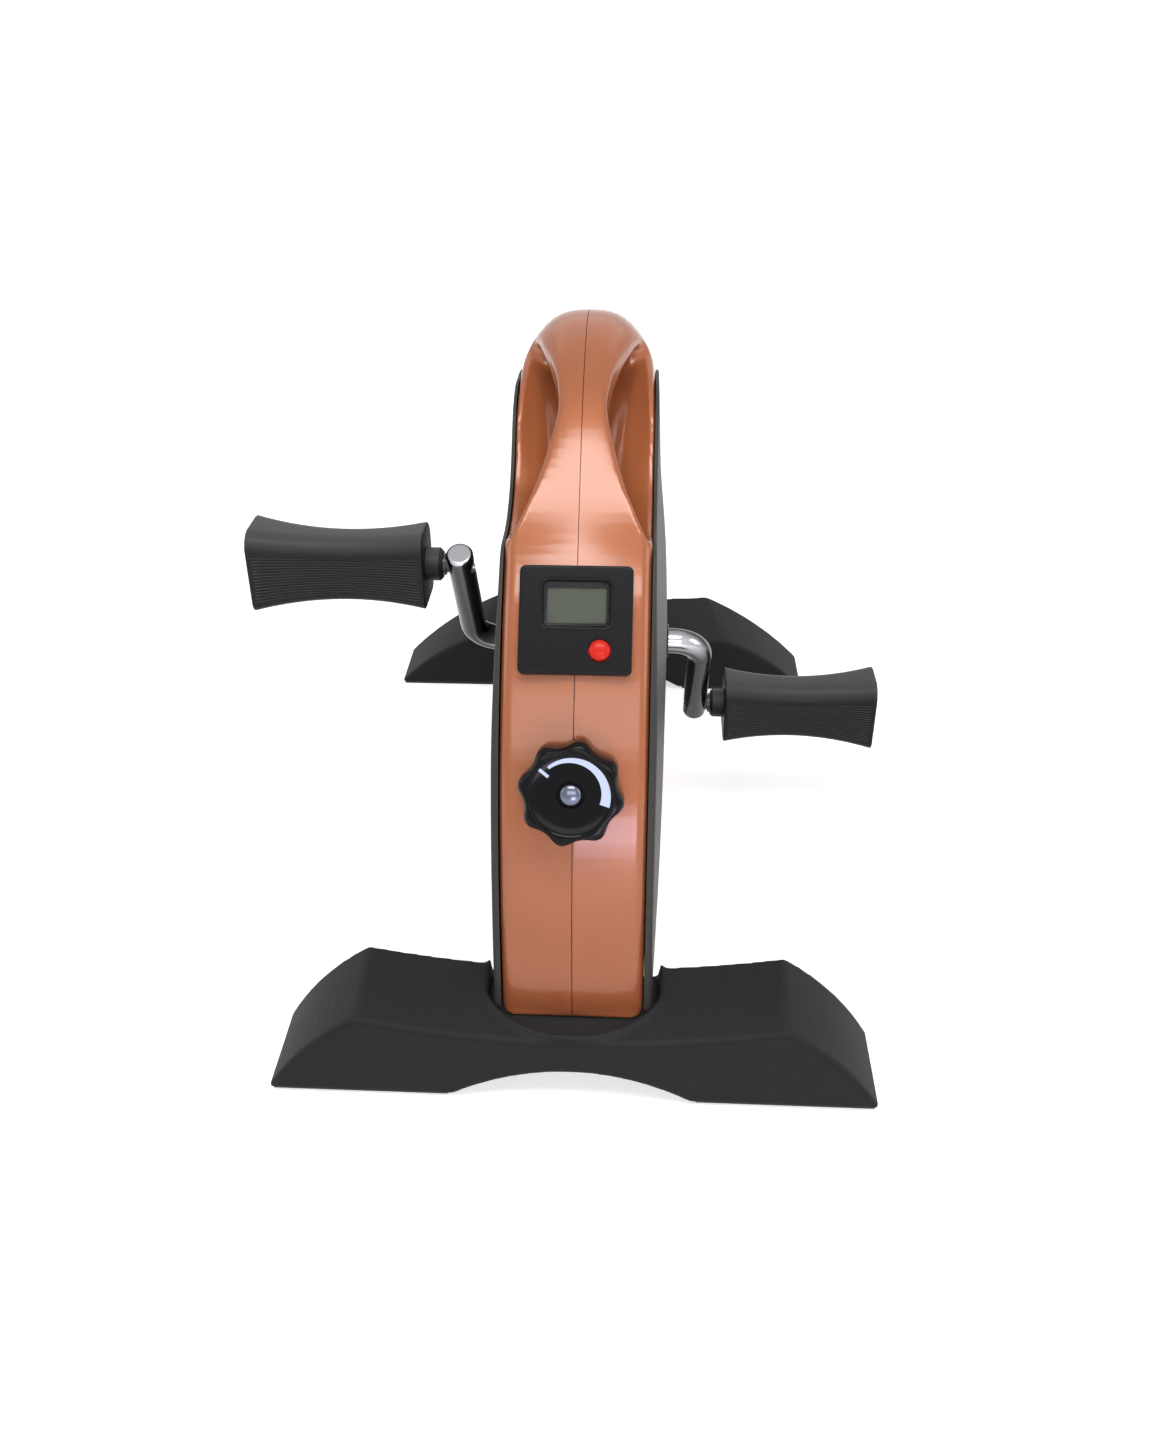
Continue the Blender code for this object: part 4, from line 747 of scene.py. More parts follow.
def foot_section(crease):
    """A foot's outline in elevation, clockwise from the arch's left end."""
    top = foot_top(np.linspace(-crease[0], crease[0], 29), crease)
    facet = bow(crease[:2], (FOOT_HALF, SOLE), FOOT_BOW, 13)[1:]
    left_facet = [(-x, z) for x, z in reversed(facet)]
    along = np.linspace(ARCH_HALF, -ARCH_HALF, 25)
    arch = [(x, SOLE + (ARCH_RISE - SOLE) * (1 - (x / ARCH_HALF) ** 2)) for x in along]
    return [*left_facet, *top, *facet, *arch]


def foot_hollow(side, crease, low, high):
    """The space under one end of a foot, open at the bottom."""
    start = ARCH_HALF + FOOT_WALL
    top = [(x, z - FOOT_WALL) for x, z in foot_top(np.linspace(start, crease[0], 4), crease)]
    facet = bow(crease[:2], (FOOT_HALF, SOLE), FOOT_BOW, 6)[1:-1]
    slope = [(x - FOOT_WALL, z - FOOT_WALL) for x, z in facet]
    outline = [(start, UNDER), *top, *slope, (FOOT_HALF - 3 * FOOT_WALL, UNDER)]
    return prism([(side * x, z) for x, z in outline], low, high, ELEVATION)


print("foot:", 2 * FOOT_HALF, "m wide and", FOOT_DEPTH, "m deep")

# %% Ring and ears


def ring_line(wall):
    """The ring in plan, for a foot whose outer face is at y = 0."""
    radius, side = RING_RADIUS + wall, RING_SIDE + wall
    turn = math.asin(side / radius)
    front = arc((0, RING_CENTRE), radius, -math.pi / 2 - turn, -math.pi / 2 + turn, 48)
    back = FOOT_DEPTH + (0 if wall else FOOT_WALL)
    return [*front, (side, back), (-side, back)]


def ear(sign, toward):
    """A small point on the ring's wall, at its end on the inner side of the foot."""
    inner = toward * (FOOT_REACH - FOOT_DEPTH)
    outline = [(inner, RING_TOP - EAR_ROOT), (inner, EAR_TOP),
               (inner + toward * EAR_TIP, EAR_TOP - EAR_DROP),
               (inner + toward * EAR_LENGTH, RING_TOP - EAR_ROOT)]
    return prism(outline, *beside(sign, RING_SIDE + EAR_INSET, RING_SIDE + RING_WALL), SIDE)


print("ring:", 2 * (RING_SIDE + RING_WALL), "m wide")

# %% Two feet


def foot(name, toward, creases):
    """A foot from its outer and inner creases: where each lies, its height, and the height in the middle."""
    outer, inner = toward * FOOT_REACH, toward * (FOOT_REACH - FOOT_DEPTH)
    body = loft([[(x, y, z) for x, z in foot_section(crease)] for y, crease in zip((outer, inner), creases)])
    plan = Matrix.Translation((0, outer, 0)) @ Matrix.Diagonal((1, -toward, 1, 1))
    ring = prism(ring_line(RING_WALL), ARCH_RISE + FOOT_WALL, RING_TOP, plan)
    socket = prism(ring_line(0), BOTTOM - GAP, FAR, plan)
    low, high = sorted((-outer + toward * FOOT_WALL, -inner - toward * FOOT_WALL))
    shallow = min(creases, key=lambda crease: crease[1])
    shape = join(body, ring, ear(-1, toward), ear(1, toward))
    shape = softened(cut(shape, socket), voxel=0.0014, radius=0.0016)
    bolt = Matrix.Translation((0, toward * BOLT_Y, 0))
    shape = cut(shape, foot_hollow(-1, shallow, low, high), foot_hollow(1, shallow, low, high),
                rod(BOLT_HOLE, UNDER, FAR, bolt, 32), rod(BOLT_HEAD_HOLE, UNDER, ARCH_RISE + GAP, bolt, 48))
    finish(name + "_foot_moulding", shape, "stand", "textured_plastic", foot_black, name + "_foot")


foot("front", -1, ((0.1170, 0.0585, 0.0455), (0.120, 0.0595, 0.0475)))
foot("rear", 1, ((0.090, 0.0610, 0.0575), (0.106, 0.0475, 0.0440)))

# %% [markdown]
# ## Crank
#
# The crank is one bent chrome bar, with its ends cut flat, their edges rounded, and a bore through each end
# for a pedal's spindle. I extrude a circle along its centre line with a loft. Chrome is a mirror, so nearly
# all of its look is what it reflects, and its roughness varies slightly as real plating does. Its colour is
# painted darker where it turns away: a painted reflection of the dark things that a real room shows and this
# pale room lacks.

# %% Chrome
chrome = Finish("chrome", (0.6, 0.6, 0.62), 1.0)
# Painted reflection: the colour goes dark where the surface turns away, standing in for a dark room
facing = Wave(chrome, chrome.node("ShaderNodeLayerWeight", None, {"Blend": 0.5}).outputs["Facing"])
facing = chrome.levels(facing, 0.05, 0.50)
chrome.set("Base Color", chrome.mix(facing, (0.54, 0.55, 0.58), (0.04, 0.04, 0.042)))
chrome.grain(chrome.noise(40, 3.0), 0.15, 0.09)
chrome.bump(chrome.noise(70), 0.0001)

# %% Crank line
ARM_X, CRANK_RADIUS, CRANK_THROW, ARM_END, CRANK_BEND = 0.0725, 0.008, 0.0855, 0.0112, 0.018
CRANK_ANGLE = math.radians(58.6)
SPINDLE_RADIUS, SPINDLE_IN, BORE_REACH, END_ROUND = 0.005, 0.007, 0.03, 0.0020


def rounded_end(radius, count):
    """(along, narrower) pairs from a flat end inwards, which round its edge."""
    turns = np.linspace(math.pi / 2, 0, count)
    return [(radius * (1 - math.sin(a)), radius * (1 - math.cos(a))) for a in turns]


def bar(path, radius, end_round, sides=40):
    """A round bar along a path in the (up, across) plane, with rounded edges at its two flat ends."""
    path = np.array(path)
    slope = np.gradient(path, axis=0)
    slope /= np.linalg.norm(slope, axis=1)[:, None]
    turn = np.linspace(0, 2 * math.pi, sides, endpoint=False)
    end = rounded_end(end_round, 6)
    stops = [(path[0] + slope[0] * along, slope[0], radius - narrow) for along, narrow in end]
    stops += [(place, way, radius) for place, way in zip(path[1:-1], slope[1:-1])]
    stops += [(path[-1] - slope[-1] * along, slope[-1], radius - narrow) for along, narrow in reversed(end)]
    rings = []
    for (up, across), (rise, run), size in stops:
        rings.append([(size * math.cos(a), up - run * size * math.sin(a), across + rise * size * math.sin(a))
                      for a in turn])
    return loft(rings)


def crank_path():
    """The crank's centre line from the right arm's tip to the left one's, with the left arm straight up."""
    tip, corner = CRANK_THROW + ARM_END, ARM_X - CRANK_BEND
    bend = [(CRANK_BEND * (1 - math.cos(a)), corner + CRANK_BEND * math.sin(a))
            for a in np.linspace(math.pi / 2, 0, 15)]
    lean = [(up, ARM_X) for up in np.linspace(tip, CRANK_BEND, 12)]
    right = [(-up, across) for up, across in (*lean, *bend[1:])]
    left = [(up, -across) for up, across in reversed((*lean, *bend[1:]))]
    return [*right, *left]


def pedal_place(sign, x=0):
    """The place of a pedal's spindle."""
    return axle_at(CRANK_Y + sign * math.cos(CRANK_ANGLE) * CRANK_THROW,
                   CRANK_Z - sign * math.sin(CRANK_ANGLE) * CRANK_THROW, x)


print("crank: a throw of", CRANK_THROW, "m, and", len(crank_path()), "points along it")

# %% Crank
crank = bar(crank_path(), CRANK_RADIUS, END_ROUND)
bmesh.ops.transform(crank, matrix=crank_frame @ Matrix.Rotation(math.pi / 2 - CRANK_ANGLE, 4, "Z"),
                    verts=crank.verts)
bores = [rod(SPINDLE_RADIUS + GAP, -BORE_REACH, BORE_REACH, pedal_place(sign, sign * ARM_X))
         for _, sign in SIDES]
# Its edges are round already, so here softened only evens its mesh before the bores are cut
crank = cut(softened(crank, voxel=0.0007, radius=0.0012), *bores)
finish("crank_bar", crank, "crank_set", "chrome", chrome, "crank")

# %% [markdown]
# A small black bush closes the gap where the crank leaves each cover. It is a turned ring, and the edges of
# its outer end are slightly rounded, so that they catch a thin line of light.

# %% Bushes
bush_black = Finish("bush black", (0.012, 0.012, 0.012), Specular_IOR_Level=0.25)
bush_black.grain(bush_black.noise(300), 0.30, 0.1)
BUSH_BORE, BUSH_RADIUS, BUSH_IN, BUSH_OUT, BUSH_ROUND = 0.0086, 0.0108, 0.037, 0.0516, 0.0007
BUSH = ((BUSH_BORE, BUSH_IN), (BUSH_RADIUS, BUSH_IN), (BUSH_RADIUS, BUSH_OUT - BUSH_ROUND),
        (BUSH_RADIUS - BUSH_ROUND * 0.3, BUSH_OUT - BUSH_ROUND * 0.3), (BUSH_RADIUS - BUSH_ROUND, BUSH_OUT),
        (BUSH_BORE + BUSH_ROUND * 0.6, BUSH_OUT), (BUSH_BORE, BUSH_OUT - BUSH_ROUND * 0.6))
for side, sign in SIDES:
    bush = turned([(radius, sign * along) for radius, along in BUSH], crank_frame)
    finish(side + "_bush", bush, "stand", "cover_plastic", bush_black, side + "_crank_bush")

# %% [markdown]
# ## Pedals
#
# A pedal is a block with a waist, which helps a foot to stay on it: both its sides curve in towards the
# middle. Its upper part is smooth, and below it fine ribs run along the front and back. I make the ribs
# real, as teeth in the section that I loft along the pedal, and let them fade into a plain border at each
# end. The plastic is painted paler where it faces up: a painted sheen on its top.

# %% Pedal finish
pedal_black = Finish("pedal black", (0.013, 0.013, 0.014), Specular_IOR_Level=0.14)
# Painted light: the pedal's top is painted paler where it faces up, a painted sheen
painted_top_light = pedal_black.levels(pedal_black.facing_up(), 0.15, 0.9)
pedal_black.set("Base Color", pedal_black.mix(painted_top_light, (0.013, 0.013, 0.014), (0.062, 0.062, 0.065)))
pedal_black.grain(pedal_black.noise(1200), 0.36, 0.12, 0.00006)

# %% Pedal section
PEDAL_INNER, PEDAL_LENGTH, PEDAL_HEIGHT, PEDAL_DEPTH = 0.0925, 0.1025, 0.048, 0.038
PEDAL_OUTER = PEDAL_INNER + PEDAL_LENGTH
PEDAL_FLARE, PEDAL_WAIST = 0.001, 0.0047
TOP_CORNER, BOTTOM_CORNER, END_EDGE = 0.011, 0.0055, 0.0012
RIBS, RIB_TOP, RIB_BOTTOM, RIB_DEPTH = 15, 0.0115, -0.0180, 0.0006
BORDER, RIB_START, RIB_EVEN = 0.0030, 0.0042, 0.008
CAP_RADIUS, CAP_THICKNESS, NUT_WIDTH = 0.011, 0.003, 0.006
HUB_START, HUB_RADIUS, HUB_CHAMFER = 0.0829, 0.0098, 0.0018


def pedal_section(grow, rib):
    """A pedal's section as (back, up) pairs, with ribs of a depth on its front and back."""
    deep, tall = PEDAL_DEPTH / 2 + grow, PEDAL_HEIGHT / 2 + grow
    ribs = []
    pitch = (RIB_TOP - RIB_BOTTOM) / RIBS
    for i in range(RIBS):
        for share, depth in ((0.06, 0), (0.24, rib), (0.46, rib), (0.64, 0)):
            ribs.append((depth, (RIB_TOP - (i + share) * pitch) * tall / (PEDAL_HEIGHT / 2)))
    points = []
    for sign in (1, -1):
        face = [(sign * (deep - depth), up) for depth, up in ribs]
        top = arc((0, tall - TOP_CORNER), TOP_CORNER, 0, math.pi / 2, 9)
        top = [(sign * (deep - TOP_CORNER + u), v) for u, v in top]
        foot_turn = arc((0, BOTTOM_CORNER - tall), BOTTOM_CORNER, -math.pi / 2, 0, 6)
        low = [(sign * (deep - BOTTOM_CORNER + u), v) for u, v in foot_turn]
        half = [*low, *reversed(face), *top]
        points.extend(half if sign > 0 else reversed(half))
    return points


print("pedal: a section of", len(pedal_section(0, RIB_DEPTH)), "points")

# %% Two pedals


def pedal_rings(sign):
    """The sections along a pedal, from the crank outwards."""
    end = rounded_end(END_EDGE, 5)
    stops = [(PEDAL_INNER + along, narrow, 0) for along, narrow in end]
    stops += [(PEDAL_INNER + BORDER, 0, 0), (PEDAL_INNER + RIB_START, 0, RIB_DEPTH)]
    stops += [(x, 0, RIB_DEPTH) for x in np.linspace(PEDAL_INNER + RIB_EVEN, PEDAL_OUTER - RIB_EVEN, 15)]
    stops += [(PEDAL_OUTER - RIB_START, 0, RIB_DEPTH), (PEDAL_OUTER - BORDER, 0, 0)]
    stops += [(PEDAL_OUTER - along, narrow, 0) for along, narrow in reversed(end)]
    rings = []
    for x, narrow, rib in stops:
        along = 2 * (x - PEDAL_INNER) / PEDAL_LENGTH - 1
        grow = PEDAL_FLARE * along - PEDAL_WAIST * (1 - along**2) - narrow
        rings.append([(u, v, sign * x) for u, v in pedal_section(grow, rib)])
    return rings


HUB_END = PEDAL_INNER + 0.002
HUB = ((0, HUB_START), (HUB_RADIUS - HUB_CHAMFER, HUB_START), (HUB_RADIUS, HUB_START + HUB_CHAMFER),
       (HUB_RADIUS, HUB_END), (0, HUB_END))
POCKET = PEDAL_OUTER - CAP_THICKNESS - NUT_WIDTH - 3 * GAP
for side, sign in SIDES:
    place = pedal_place(sign)
    hub = turned([(radius, sign * along) for radius, along in HUB], place)
    body = cut(join(loft(pedal_rings(sign), place), hub), rod(SPINDLE_RADIUS + GAP, -FAR, FAR, place),
               rod(CAP_RADIUS + GAP, *beside(sign, POCKET, FAR), place, 64))
    finish(side + "_pedal_body", body, side + "_pedal_set", "pedal_plastic", pedal_black,
           side + "_pedal", sharp=25)

# %% [markdown]
# Each pedal turns on a steel spindle that is screwed into the crank's end. Between the crank and the pedal's
# hub a person sees its collar, with flats for a spanner. The collar is a twelve-sided rod on a round one.

# %% Pedal spindles
steel = Finish("dark steel", (0.055, 0.055, 0.058), 1.0)
steel.grain(steel.noise(500, stretch=(6, 1, 1)), 0.26, 0.16)
steel.bump(steel.noise(700, stretch=(8, 1, 1)), 0.00005)
COLLAR_START, COLLAR_END, FLATS_RADIUS = 0.0812, 0.0826, 0.0066
SPINDLE_START, SPINDLE_END = ARM_X - SPINDLE_IN, PEDAL_OUTER - CAP_THICKNESS - 2 * GAP
for side, sign in SIDES:
    place = pedal_place(sign)
    spindle = join(rod(SPINDLE_RADIUS, *beside(sign, SPINDLE_START, SPINDLE_END), place),
                   rod(FLATS_RADIUS, *beside(sign, COLLAR_START, COLLAR_END), place, 12))
    finish(side + "_spindle", spindle, "crank_set", "steel", steel, side + "_pedal_spindle")

# %% [markdown]
# ## Tension knob
#
# The knob is glossy black with eight lobes to hold it by. Its face is dished, and carries a white arc that
# grows with the tension and a tick for the pointer, printed on. I loft the lobed edge through its levels,
# spin a cutter for the dish, and print the marks in the finish: a place on the knob becomes a distance and
# an angle about its axis, and the marks are the stretches of both that are white.

# %% Knob finish
gloss = Finish("glossy black", (0.005, 0.005, 0.006), Specular_IOR_Level=0.11)
turn_back = knob_frame.inverted()
shift, turn = turn_back.translation, turn_back.to_euler()
place = gloss.node("ShaderNodeMapping", None, {"Vector": gloss.place, "Location": shift, "Rotation": turn})
split = gloss.node("ShaderNodeSeparateXYZ", None, {"Vector": place.outputs[0]})
u, v, w = (Wave(gloss, split.outputs[axis]) for axis in ("X", "Y", "Z"))
distance = (u * u + v * v) ** 0.5
angle = gloss.maths("ARCTAN2", v, u)
FINE, FINE_ANGLE = 0.00012, 0.008
ARC_START, ARC_END = math.radians(130), math.radians(-17)
ARC_THIN, ARC_WIDE = (0.0172, 0.0189), (0.0155, 0.0208)
TICK_ANGLE, TICK, TICK_HALF = math.radians(141), (0.0146, 0.0208), 0.0009
FACE_LOW = 0.017


def band(value, low, high, soft):
    """1 between low and high, with a fine ramp at each edge."""
    return gloss.levels(value - low, 0.0, soft) * gloss.levels(high - value, 0.0, soft)


inner_edge, outer_edge = (
    Wave(gloss, gloss.node("ShaderNodeMapRange", {"clamp": True},
                           {"Value": angle, "From Min": ARC_START, "From Max": ARC_END,
                            "To Min": thin, "To Max": wide}).outputs[0])
    for thin, wide in zip(ARC_THIN, ARC_WIDE))
on_arc = band(distance, inner_edge, outer_edge, FINE) * band(angle, ARC_END, ARC_START, FINE_ANGLE)
along = u * math.cos(TICK_ANGLE) + v * math.sin(TICK_ANGLE)
aside = v * math.cos(TICK_ANGLE) - u * math.sin(TICK_ANGLE)
on_tick = band(along, TICK[0], TICK[1], FINE) * band(aside, -TICK_HALF, TICK_HALF, FINE)
print_mask = gloss.maths("MAXIMUM", on_arc, on_tick) * gloss.levels(w, FACE_LOW, FACE_LOW + 0.0005)
gloss.set("Base Color", gloss.mix(print_mask, (0.005, 0.005, 0.006), (0.56, 0.64, 0.84)))
gloss.set("Roughness", 0.10 + gloss.noise(60) * 0.05 + print_mask * 0.3)

# %% Knob
KNOB_RADIUS, KNOB_LOBE, LOBES, KNOB_THICKNESS, KNOB_LOW = 0.0262, 0.0016, 8, 0.0185, 0.0024
KNOB_TOP = KNOB_LOW + KNOB_THICKNESS
LOBE_TURN, LOBE_PINCH = math.radians(-10.8), 1.25
KNOB_FACE = KNOB_TOP - 0.0015
DISH_RADIUS, DISH_TOP, ABOVE = 0.0222, KNOB_TOP + 0.0002, KNOB_TOP + 0.01
# The dish's line as radius and height over the knob's face
DISH = ((0, 0), (0.008, 0), (0.016, 0.0002), (0.0200, 0.0005), (0.0213, 0.0009))
SCREW_HOLE, SCREW_RADIUS, SPINDLE_HOLE, SHANK_HOLE = 0.0068, 0.0057, 0.0052, 0.0023
HOLE_DEPTH, HOLE_EDGE, HOLE_FLARE, SPINDLE_DEPTH = 0.002, 0.0005, 0.0006, 0.006
# The height of each ring as a share of the knob's, its size, and how far its lobes stand out
LEVELS = ((0, 0.92, 0), (0.05, 0.955, 0.35), (0.1, 0.98, 0.7), (0.16, 1, 1), (0.45, 1, 1), (0.78, 1, 1),
          (0.84, 0.994, 0.97), (0.89, 0.98, 0.92), (0.93, 0.962, 0.85), (0.965, 0.94, 0.72),
          (0.99, 0.918, 0.55), (1, 0.9, 0.4))
turn = np.linspace(0, 2 * math.pi, LOBES * 18, endpoint=False)
wave = 2 * ((1 + np.cos(LOBES * (turn - LOBE_TURN))) / 2) ** LOBE_PINCH - 1
rings = []
for share, scale, lobe in LEVELS:
    edge = KNOB_RADIUS * scale + KNOB_LOBE * lobe * wave
    rings.append([(r * math.cos(a), r * math.sin(a), KNOB_LOW + share * KNOB_THICKNESS)
                  for r, a in zip(edge, turn)])
dish = turned((*((radius, KNOB_FACE + rise) for radius, rise in DISH), (DISH_RADIUS, DISH_TOP),
               (DISH_RADIUS, ABOVE), (0, ABOVE)), steps=96)
hole = turned(((0, KNOB_FACE - HOLE_DEPTH), (SCREW_HOLE, KNOB_FACE - HOLE_DEPTH),
               (SCREW_HOLE, KNOB_FACE - HOLE_EDGE), (SCREW_HOLE + HOLE_FLARE, KNOB_FACE + GAP),
               (0, KNOB_FACE + GAP)))
knob = cut(loft(rings), dish, hole, rod(SPINDLE_HOLE, -FAR, KNOB_FACE - SPINDLE_DEPTH),
           rod(SHANK_HOLE, 0, FAR))
bmesh.ops.transform(knob, matrix=knob_frame, verts=knob.verts)
finish("knob", knob, "knob_set", "gloss_black", gloss, "tension_knob", sharp=38)

# %% [markdown]
# A screw with a polished dome holds the knob on its spindle. Its head and its shank are one profile, spun
# about the knob's axis.

# %% Knob screw
screw_steel = Finish("screw steel", (0.14, 0.155, 0.205), 1.0)
screw_steel.grain(screw_steel.noise(300), 0.18, 0.08)
SEAT, SCREW_RIM, SCREW_DOME, SHANK, SHANK_END = KNOB_FACE - 0.0017, 0.0014, 0.0026, 0.002, KNOB_FACE - 0.0057
dome = [(SCREW_RADIUS * math.sin(a), SEAT + SCREW_RIM + SCREW_DOME * math.cos(a))
        for a in np.linspace(0, math.pi / 2, 13)]
shank = [(SCREW_RADIUS, SEAT), (SHANK, SEAT), (SHANK, SHANK_END), (0, SHANK_END)]
finish("dome_screw", turned((*dome, *shank), knob_frame), "knob_set", "chrome", screw_steel, "knob_screw")

# %% [markdown]
# ## Display
#
# The display's housing is a square satin plate with round corners. It has a recess for the window, a fine
# groove around that, and a hole for the reset button. I soften the plate, then add the box behind it that
# goes into the housing, because nobody sees the edges there.

# %% Display finishes
console_black = Finish("display black", (0.007, 0.007, 0.0085), Specular_IOR_Level=0.13)
console_black.grain(console_black.noise(1400), 0.25, 0.08, 0.00004)
red = Finish("button red", (0.62, 0.020, 0.010), Specular_IOR_Level=0.2)
red.grain(red.noise(200), 0.22, 0.08)
clear = Finish("clear window", (1, 1, 1), Transmission_Weight=1.0, IOR=1.2)
clear.grain(clear.noise(300), 0.03, 0.03)

# %% Display housing
PLATE_LOW, PLATE_FACE, RECESS_FLOOR, PLATE_TOP = -0.004, 0.0025, 0.0034, 0.005
PLATE_CENTRE, WINDOW, SCREEN = (0, -0.0003), (0.0002, 0.0081), (0.0003, 0.0073)
# Each size is a width, a height and the radius of the corners
PLATE_SIZE, RECESS_SIZE = (0.0595, 0.0574, 0.0032), (0.0354, 0.0243, 0.0034)
WINDOW_SIZE, SCREEN_SIZE = (0.0348, 0.0237, 0.0031), (0.0308, 0.0186, 0.0008)
GROOVE_SIZE, GROOVE_CORE = (0.0388, 0.0278, 0.0050), (0.0378, 0.0268, 0.0045)
BUTTON, BUTTON_RADIUS, BUTTON_HOLE, BUTTON_RING = (0.0129, -0.0164), 0.0055, 0.0061, 0.0071
BOX, BOX_BACK, BOX_WALL = (0.027, 0.026), -0.0095, 0.002
WINDOW_GROOVE, BUTTON_GROOVE = 0.00035, 0.0004


def on_console(size, low, high, centre, count=8):
    """A slab with round corners in the display's frame, whose third axis comes out of the housing."""
    return prism(rounded_rectangle(size, centre, count), low, high, console_frame)


def console_box(inset_by, low, high):
    """The box behind the display, smaller at its sides by a distance."""
    across, up = (half - inset_by for half in BOX)
    return block((-across, -up, low), (across, up, high), console_frame)


plate = on_console(PLATE_SIZE, PLATE_LOW, PLATE_TOP, PLATE_CENTRE)
pocket = on_console(RECESS_SIZE, RECESS_FLOOR, FAR, WINDOW)
plate = softened(cut(plate, housing_solid(-GAP), pocket), voxel=0.0005, radius=0.0008)
plate = join(plate, console_box(0, BOX_BACK, PLATE_FACE + GAP))
button_frame = console_frame @ Matrix.Translation((*BUTTON, 0))
groove = cut(on_console(GROOVE_SIZE, PLATE_TOP - WINDOW_GROOVE, FAR, WINDOW),
             on_console(GROOVE_CORE, 0, 2 * FAR, WINDOW))
plate = cut(plate, console_box(BOX_WALL, -FAR, PLATE_FACE), on_console(SCREEN_SIZE, 0, FAR, SCREEN, 6),
            groove, rod(BUTTON_HOLE, -FAR, FAR, button_frame),
            rod(BUTTON_RING, PLATE_TOP - BUTTON_GROOVE, FAR, button_frame, 64))
finish("display_case", plate, "stand", "console_plastic", console_black, "console_housing")

# %% [markdown]
# The window is a clear pane with finely bevelled edges, which lies just above the floor of its recess. The
# red button is a turned dome on a flange, and the flange keeps it from coming out of its hole.

# %% Window and button
WINDOW_LOW, WINDOW_HIGH = RECESS_FLOOR + 0.0001, RECESS_FLOOR + 0.0009
BUTTON_TOP, BUTTON_RIM, BUTTON_DOME = PLATE_TOP + 0.0035, PLATE_TOP + 0.0008, 0.8
FLANGE_RADIUS, FLANGE_LOW, FLANGE_HIGH = 0.007, 0.0016, 0.0022
window = on_console(WINDOW_SIZE, WINDOW_LOW, WINDOW_HIGH, WINDOW)
finish("window", window, "stand", "clear", clear, "display_lens", bevel=0.0002)
dome = [(BUTTON_RADIUS * math.sin(a) ** BUTTON_DOME, BUTTON_RIM + (BUTTON_TOP - BUTTON_RIM) * math.cos(a))
        for a in np.linspace(0, math.pi / 2, 14)]
stem = [(BUTTON_RADIUS, FLANGE_HIGH), (FLANGE_RADIUS, FLANGE_HIGH), (FLANGE_RADIUS, FLANGE_LOW),
        (0, FLANGE_LOW)]
button = turned((*dome, *stem), button_frame)
finish("button_cap", button, "button", "red_plastic", red, "reset_button")

# %% [markdown]
# ## Parts inside
#
# The frame, the bearings, the belt drive and the brake stay inside the housing, and so do the screws under
# the covers. Their CAD solids are fine as they are, so each only gets a finish of its own for its slot.

# %% Finishes for the other solids
iron = Finish("cast iron", (0.16, 0.16, 0.165), 0.9)
iron.grain(iron.noise(250, 3.0), 0.42, 0.2)
iron.bump(iron.noise(400, 3.0), 0.0002)
rubber = Finish("rubber", (0.06, 0.06, 0.058), Specular_IOR_Level=0.3)
rubber.grain(rubber.noise(600), 0.72, 0.15)
rubber.bump(rubber.noise(900), 0.0001)
felt = Finish("felt", (0.35, 0.33, 0.28), Roughness=0.95, Sheen_Weight=0.3)
felt.set("Base Color", felt.mix(felt.noise(1200, 3.0), (0.26, 0.25, 0.21), (0.44, 0.42, 0.36)))
felt.bump(felt.noise(1500, 3.0), 0.0003)
board = Finish("circuit board", (0.03, 0.20, 0.08), Roughness=0.4)
board.set("Base Color", board.mix(board.cells(180), (0.02, 0.15, 0.06), (0.04, 0.24, 0.10)))
lcd = Finish("display grey", (0.068, 0.076, 0.056), Roughness=0.4, Specular_IOR_Level=0.1)
lcd.set("Base Color", lcd.mix(lcd.noise(30), (0.064, 0.072, 0.052), (0.072, 0.080, 0.060)))
finishes = {"copper_paint": copper, "textured_plastic": foot_black, "pedal_plastic": pedal_black,
            "cover_plastic": bush_black, "gloss_black": gloss, "console_plastic": console_black,
            "red_plastic": red, "chrome": chrome, "steel": steel, "cast_iron": iron, "rubber": rubber,
            "felt": felt, "board_green": board, "display_grey": lcd, "clear": clear}
for subpart in frame["record"]["subparts"]:
    node = frame["nodes"][subpart["node"]]
    for place in node.material_slots:
        place.material = finishes[subpart["material_slot"]].material
print("CAD nodes with a new finish:", len(frame["nodes"]))

# %% [markdown]
# ## Camera, light and floor
#
# The camera stands in front of the bike and above it, with a lens a little longer than a phone's. Its place
# was fitted to corners that show in the photo. The light is plain: a wide lamp high in front puts the sheen
# on the handle, a lower one lights the display, a small low one gives the right half its cooler sheen, and
# one at each side and one behind fill in. The floor is white and glows a little, more so further away, so
# it meets a white background and still keeps a soft shadow.

# %% Camera
YAW, PITCH, ROLL = (math.radians(angle) for angle in (-3.34, 31.25, -0.56))
CAMERA_PLACE = (0.0345, -0.7634, 0.5722)
# In rows of a picture that is 1440 rows high: the focal length, and how far the centre is shifted
ROWS, FOCAL, SHIFT, SENSOR = 1440, 1300, -20, 36
forward = Vector((math.sin(YAW) * math.cos(PITCH), math.cos(YAW) * math.cos(PITCH), -math.sin(PITCH)))
level = Vector((math.cos(YAW), -math.sin(YAW), 0))
down = forward.cross(level)
right = level * math.cos(ROLL) - down * math.sin(ROLL)
up = -(level * math.sin(ROLL) + down * math.cos(ROLL))
camera = bpy.data.objects.new("camera", bpy.data.cameras.new("camera"))
scene.collection.objects.link(camera)
camera.matrix_world = Matrix.Translation(CAMERA_PLACE) @ Matrix((right, up, -forward)).transposed().to_4x4()
camera.data.lens = FOCAL / ROWS * SENSOR
camera.data.shift_y = SHIFT / ROWS
scene.camera = camera
scene.view_settings.view_transform = "Standard"
print(f"camera: {camera.data.lens:.1f} mm lens")

# %% Lamps


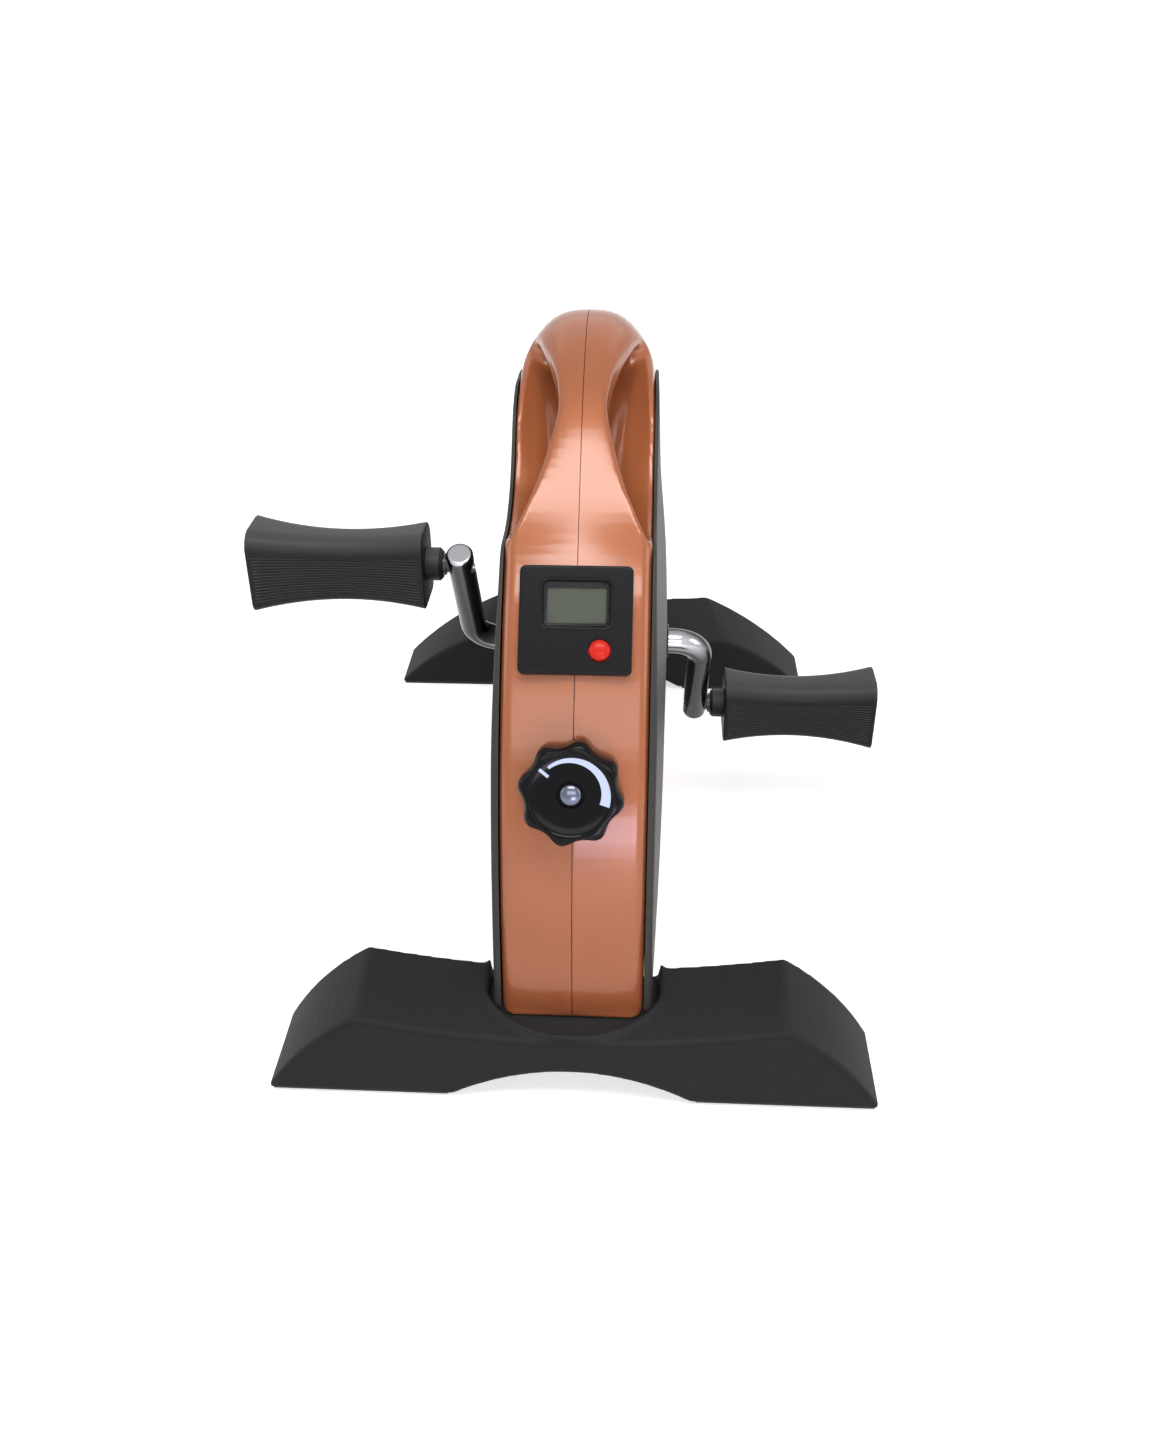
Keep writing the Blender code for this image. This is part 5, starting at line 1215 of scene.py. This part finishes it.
def lamp(name, place, target, size, power, colour=(1, 1, 1)):
    """A rectangular lamp at a place, turned to a target."""
    light = bpy.data.lights.new(name, "AREA")
    light.shape = "RECTANGLE"
    light.size, light.size_y = size
    light.energy = power
    light.color = colour
    obj = bpy.data.objects.new(name, light)
    scene.collection.objects.link(obj)
    aim = (Vector(target) - Vector(place)).to_track_quat("-Z", "Y")
    obj.matrix_world = Matrix.Translation(place) @ aim.to_matrix().to_4x4()
    print(f"lamp {name}: {power} W")


lamp("high", (0.05, -0.70, 1.53), (0, -0.1, 0.31), (1.0, 0.42), 13)
lamp("front", (0.1, -1.45, 0.84), (0, -0.17, 0.23), (1.2, 0.4), 4.2)
lamp("back", (0, 0.95, 1.2), (0, 0, 0.35), (1.4, 0.8), 1.8)
lamp("low", (0.24, -1.25, 0.13), (0, -0.2, 0.15), (0.36, 0.2), 2.2, (0.85, 0.75, 1.0))
lamp("right", (1.6, -0.35, 0.8), (0, 0, 0.15), (0.9, 0.9), 5.5, (1, 0.94, 0.95))
lamp("left", (-1.6, -0.25, 0.8), (0, 0, 0.15), (0.9, 0.9), 4.2)

# %% World
world = bpy.data.worlds.new("pale room")
world.use_nodes = True
scene.world = world
nodes, links = world.node_tree.nodes, world.node_tree.links
room, white = nodes["Background"], nodes.new("ShaderNodeBackground")
for background, strength in ((room, 0.3), (white, 1.0)):
    background.inputs["Color"].default_value = (1, 1, 1, 1)
    background.inputs["Strength"].default_value = strength
rays = nodes.new("ShaderNodeLightPath")
seen = rays.outputs["Is Camera Ray"]
for ray in ("Is Glossy Ray", "Is Transmission Ray"):
    either = nodes.new("ShaderNodeMath")
    either.operation = "MAXIMUM"
    links.new(seen, either.inputs[0])
    links.new(rays.outputs[ray], either.inputs[1])
    seen = either.outputs[0]
shown = nodes.new("ShaderNodeMixShader")
links.new(seen, shown.inputs[0])
links.new(room.outputs[0], shown.inputs[1])
links.new(white.outputs[0], shown.inputs[2])
links.new(shown.outputs[0], nodes["World Output"].inputs["Surface"])
print("world:", world.name)

# %% Floor
FLOOR_REACH, NEAR_GLOW, GLOW_FROM, GLOW_FULL = 6, 0.62, 0.5, 1.2
ground = bmesh.new()
bmesh.ops.create_grid(ground, x_segments=2, y_segments=2, size=FLOOR_REACH)
mesh = bpy.data.meshes.new("floor")
ground.to_mesh(mesh)
ground.free()
floor = bpy.data.objects.new("floor", mesh)
scene.collection.objects.link(floor)
paper = Finish("floor white", (0.85, 0.85, 0.85), Roughness=0.9, Specular_IOR_Level=0.1)
rays = paper.node("ShaderNodeLightPath")
shown = paper.maths("MAXIMUM", rays.outputs["Is Camera Ray"], rays.outputs["Is Glossy Ray"])
away = paper.node("ShaderNodeVectorMath", {"operation": "LENGTH"}, {0: paper.place}).outputs["Value"]
far_off = paper.levels(away, GLOW_FROM, GLOW_FULL)
glow = shown * (NEAR_GLOW + far_off * (1 - NEAR_GLOW))
paper.set("Emission Color", paper.mix(glow, (0, 0, 0), (1, 1, 1)))
paper.set("Emission Strength", 1.0)
mesh.materials.append(paper.material)
print("floor:", 2 * max(vert.co.x for vert in mesh.vertices), "m wide")
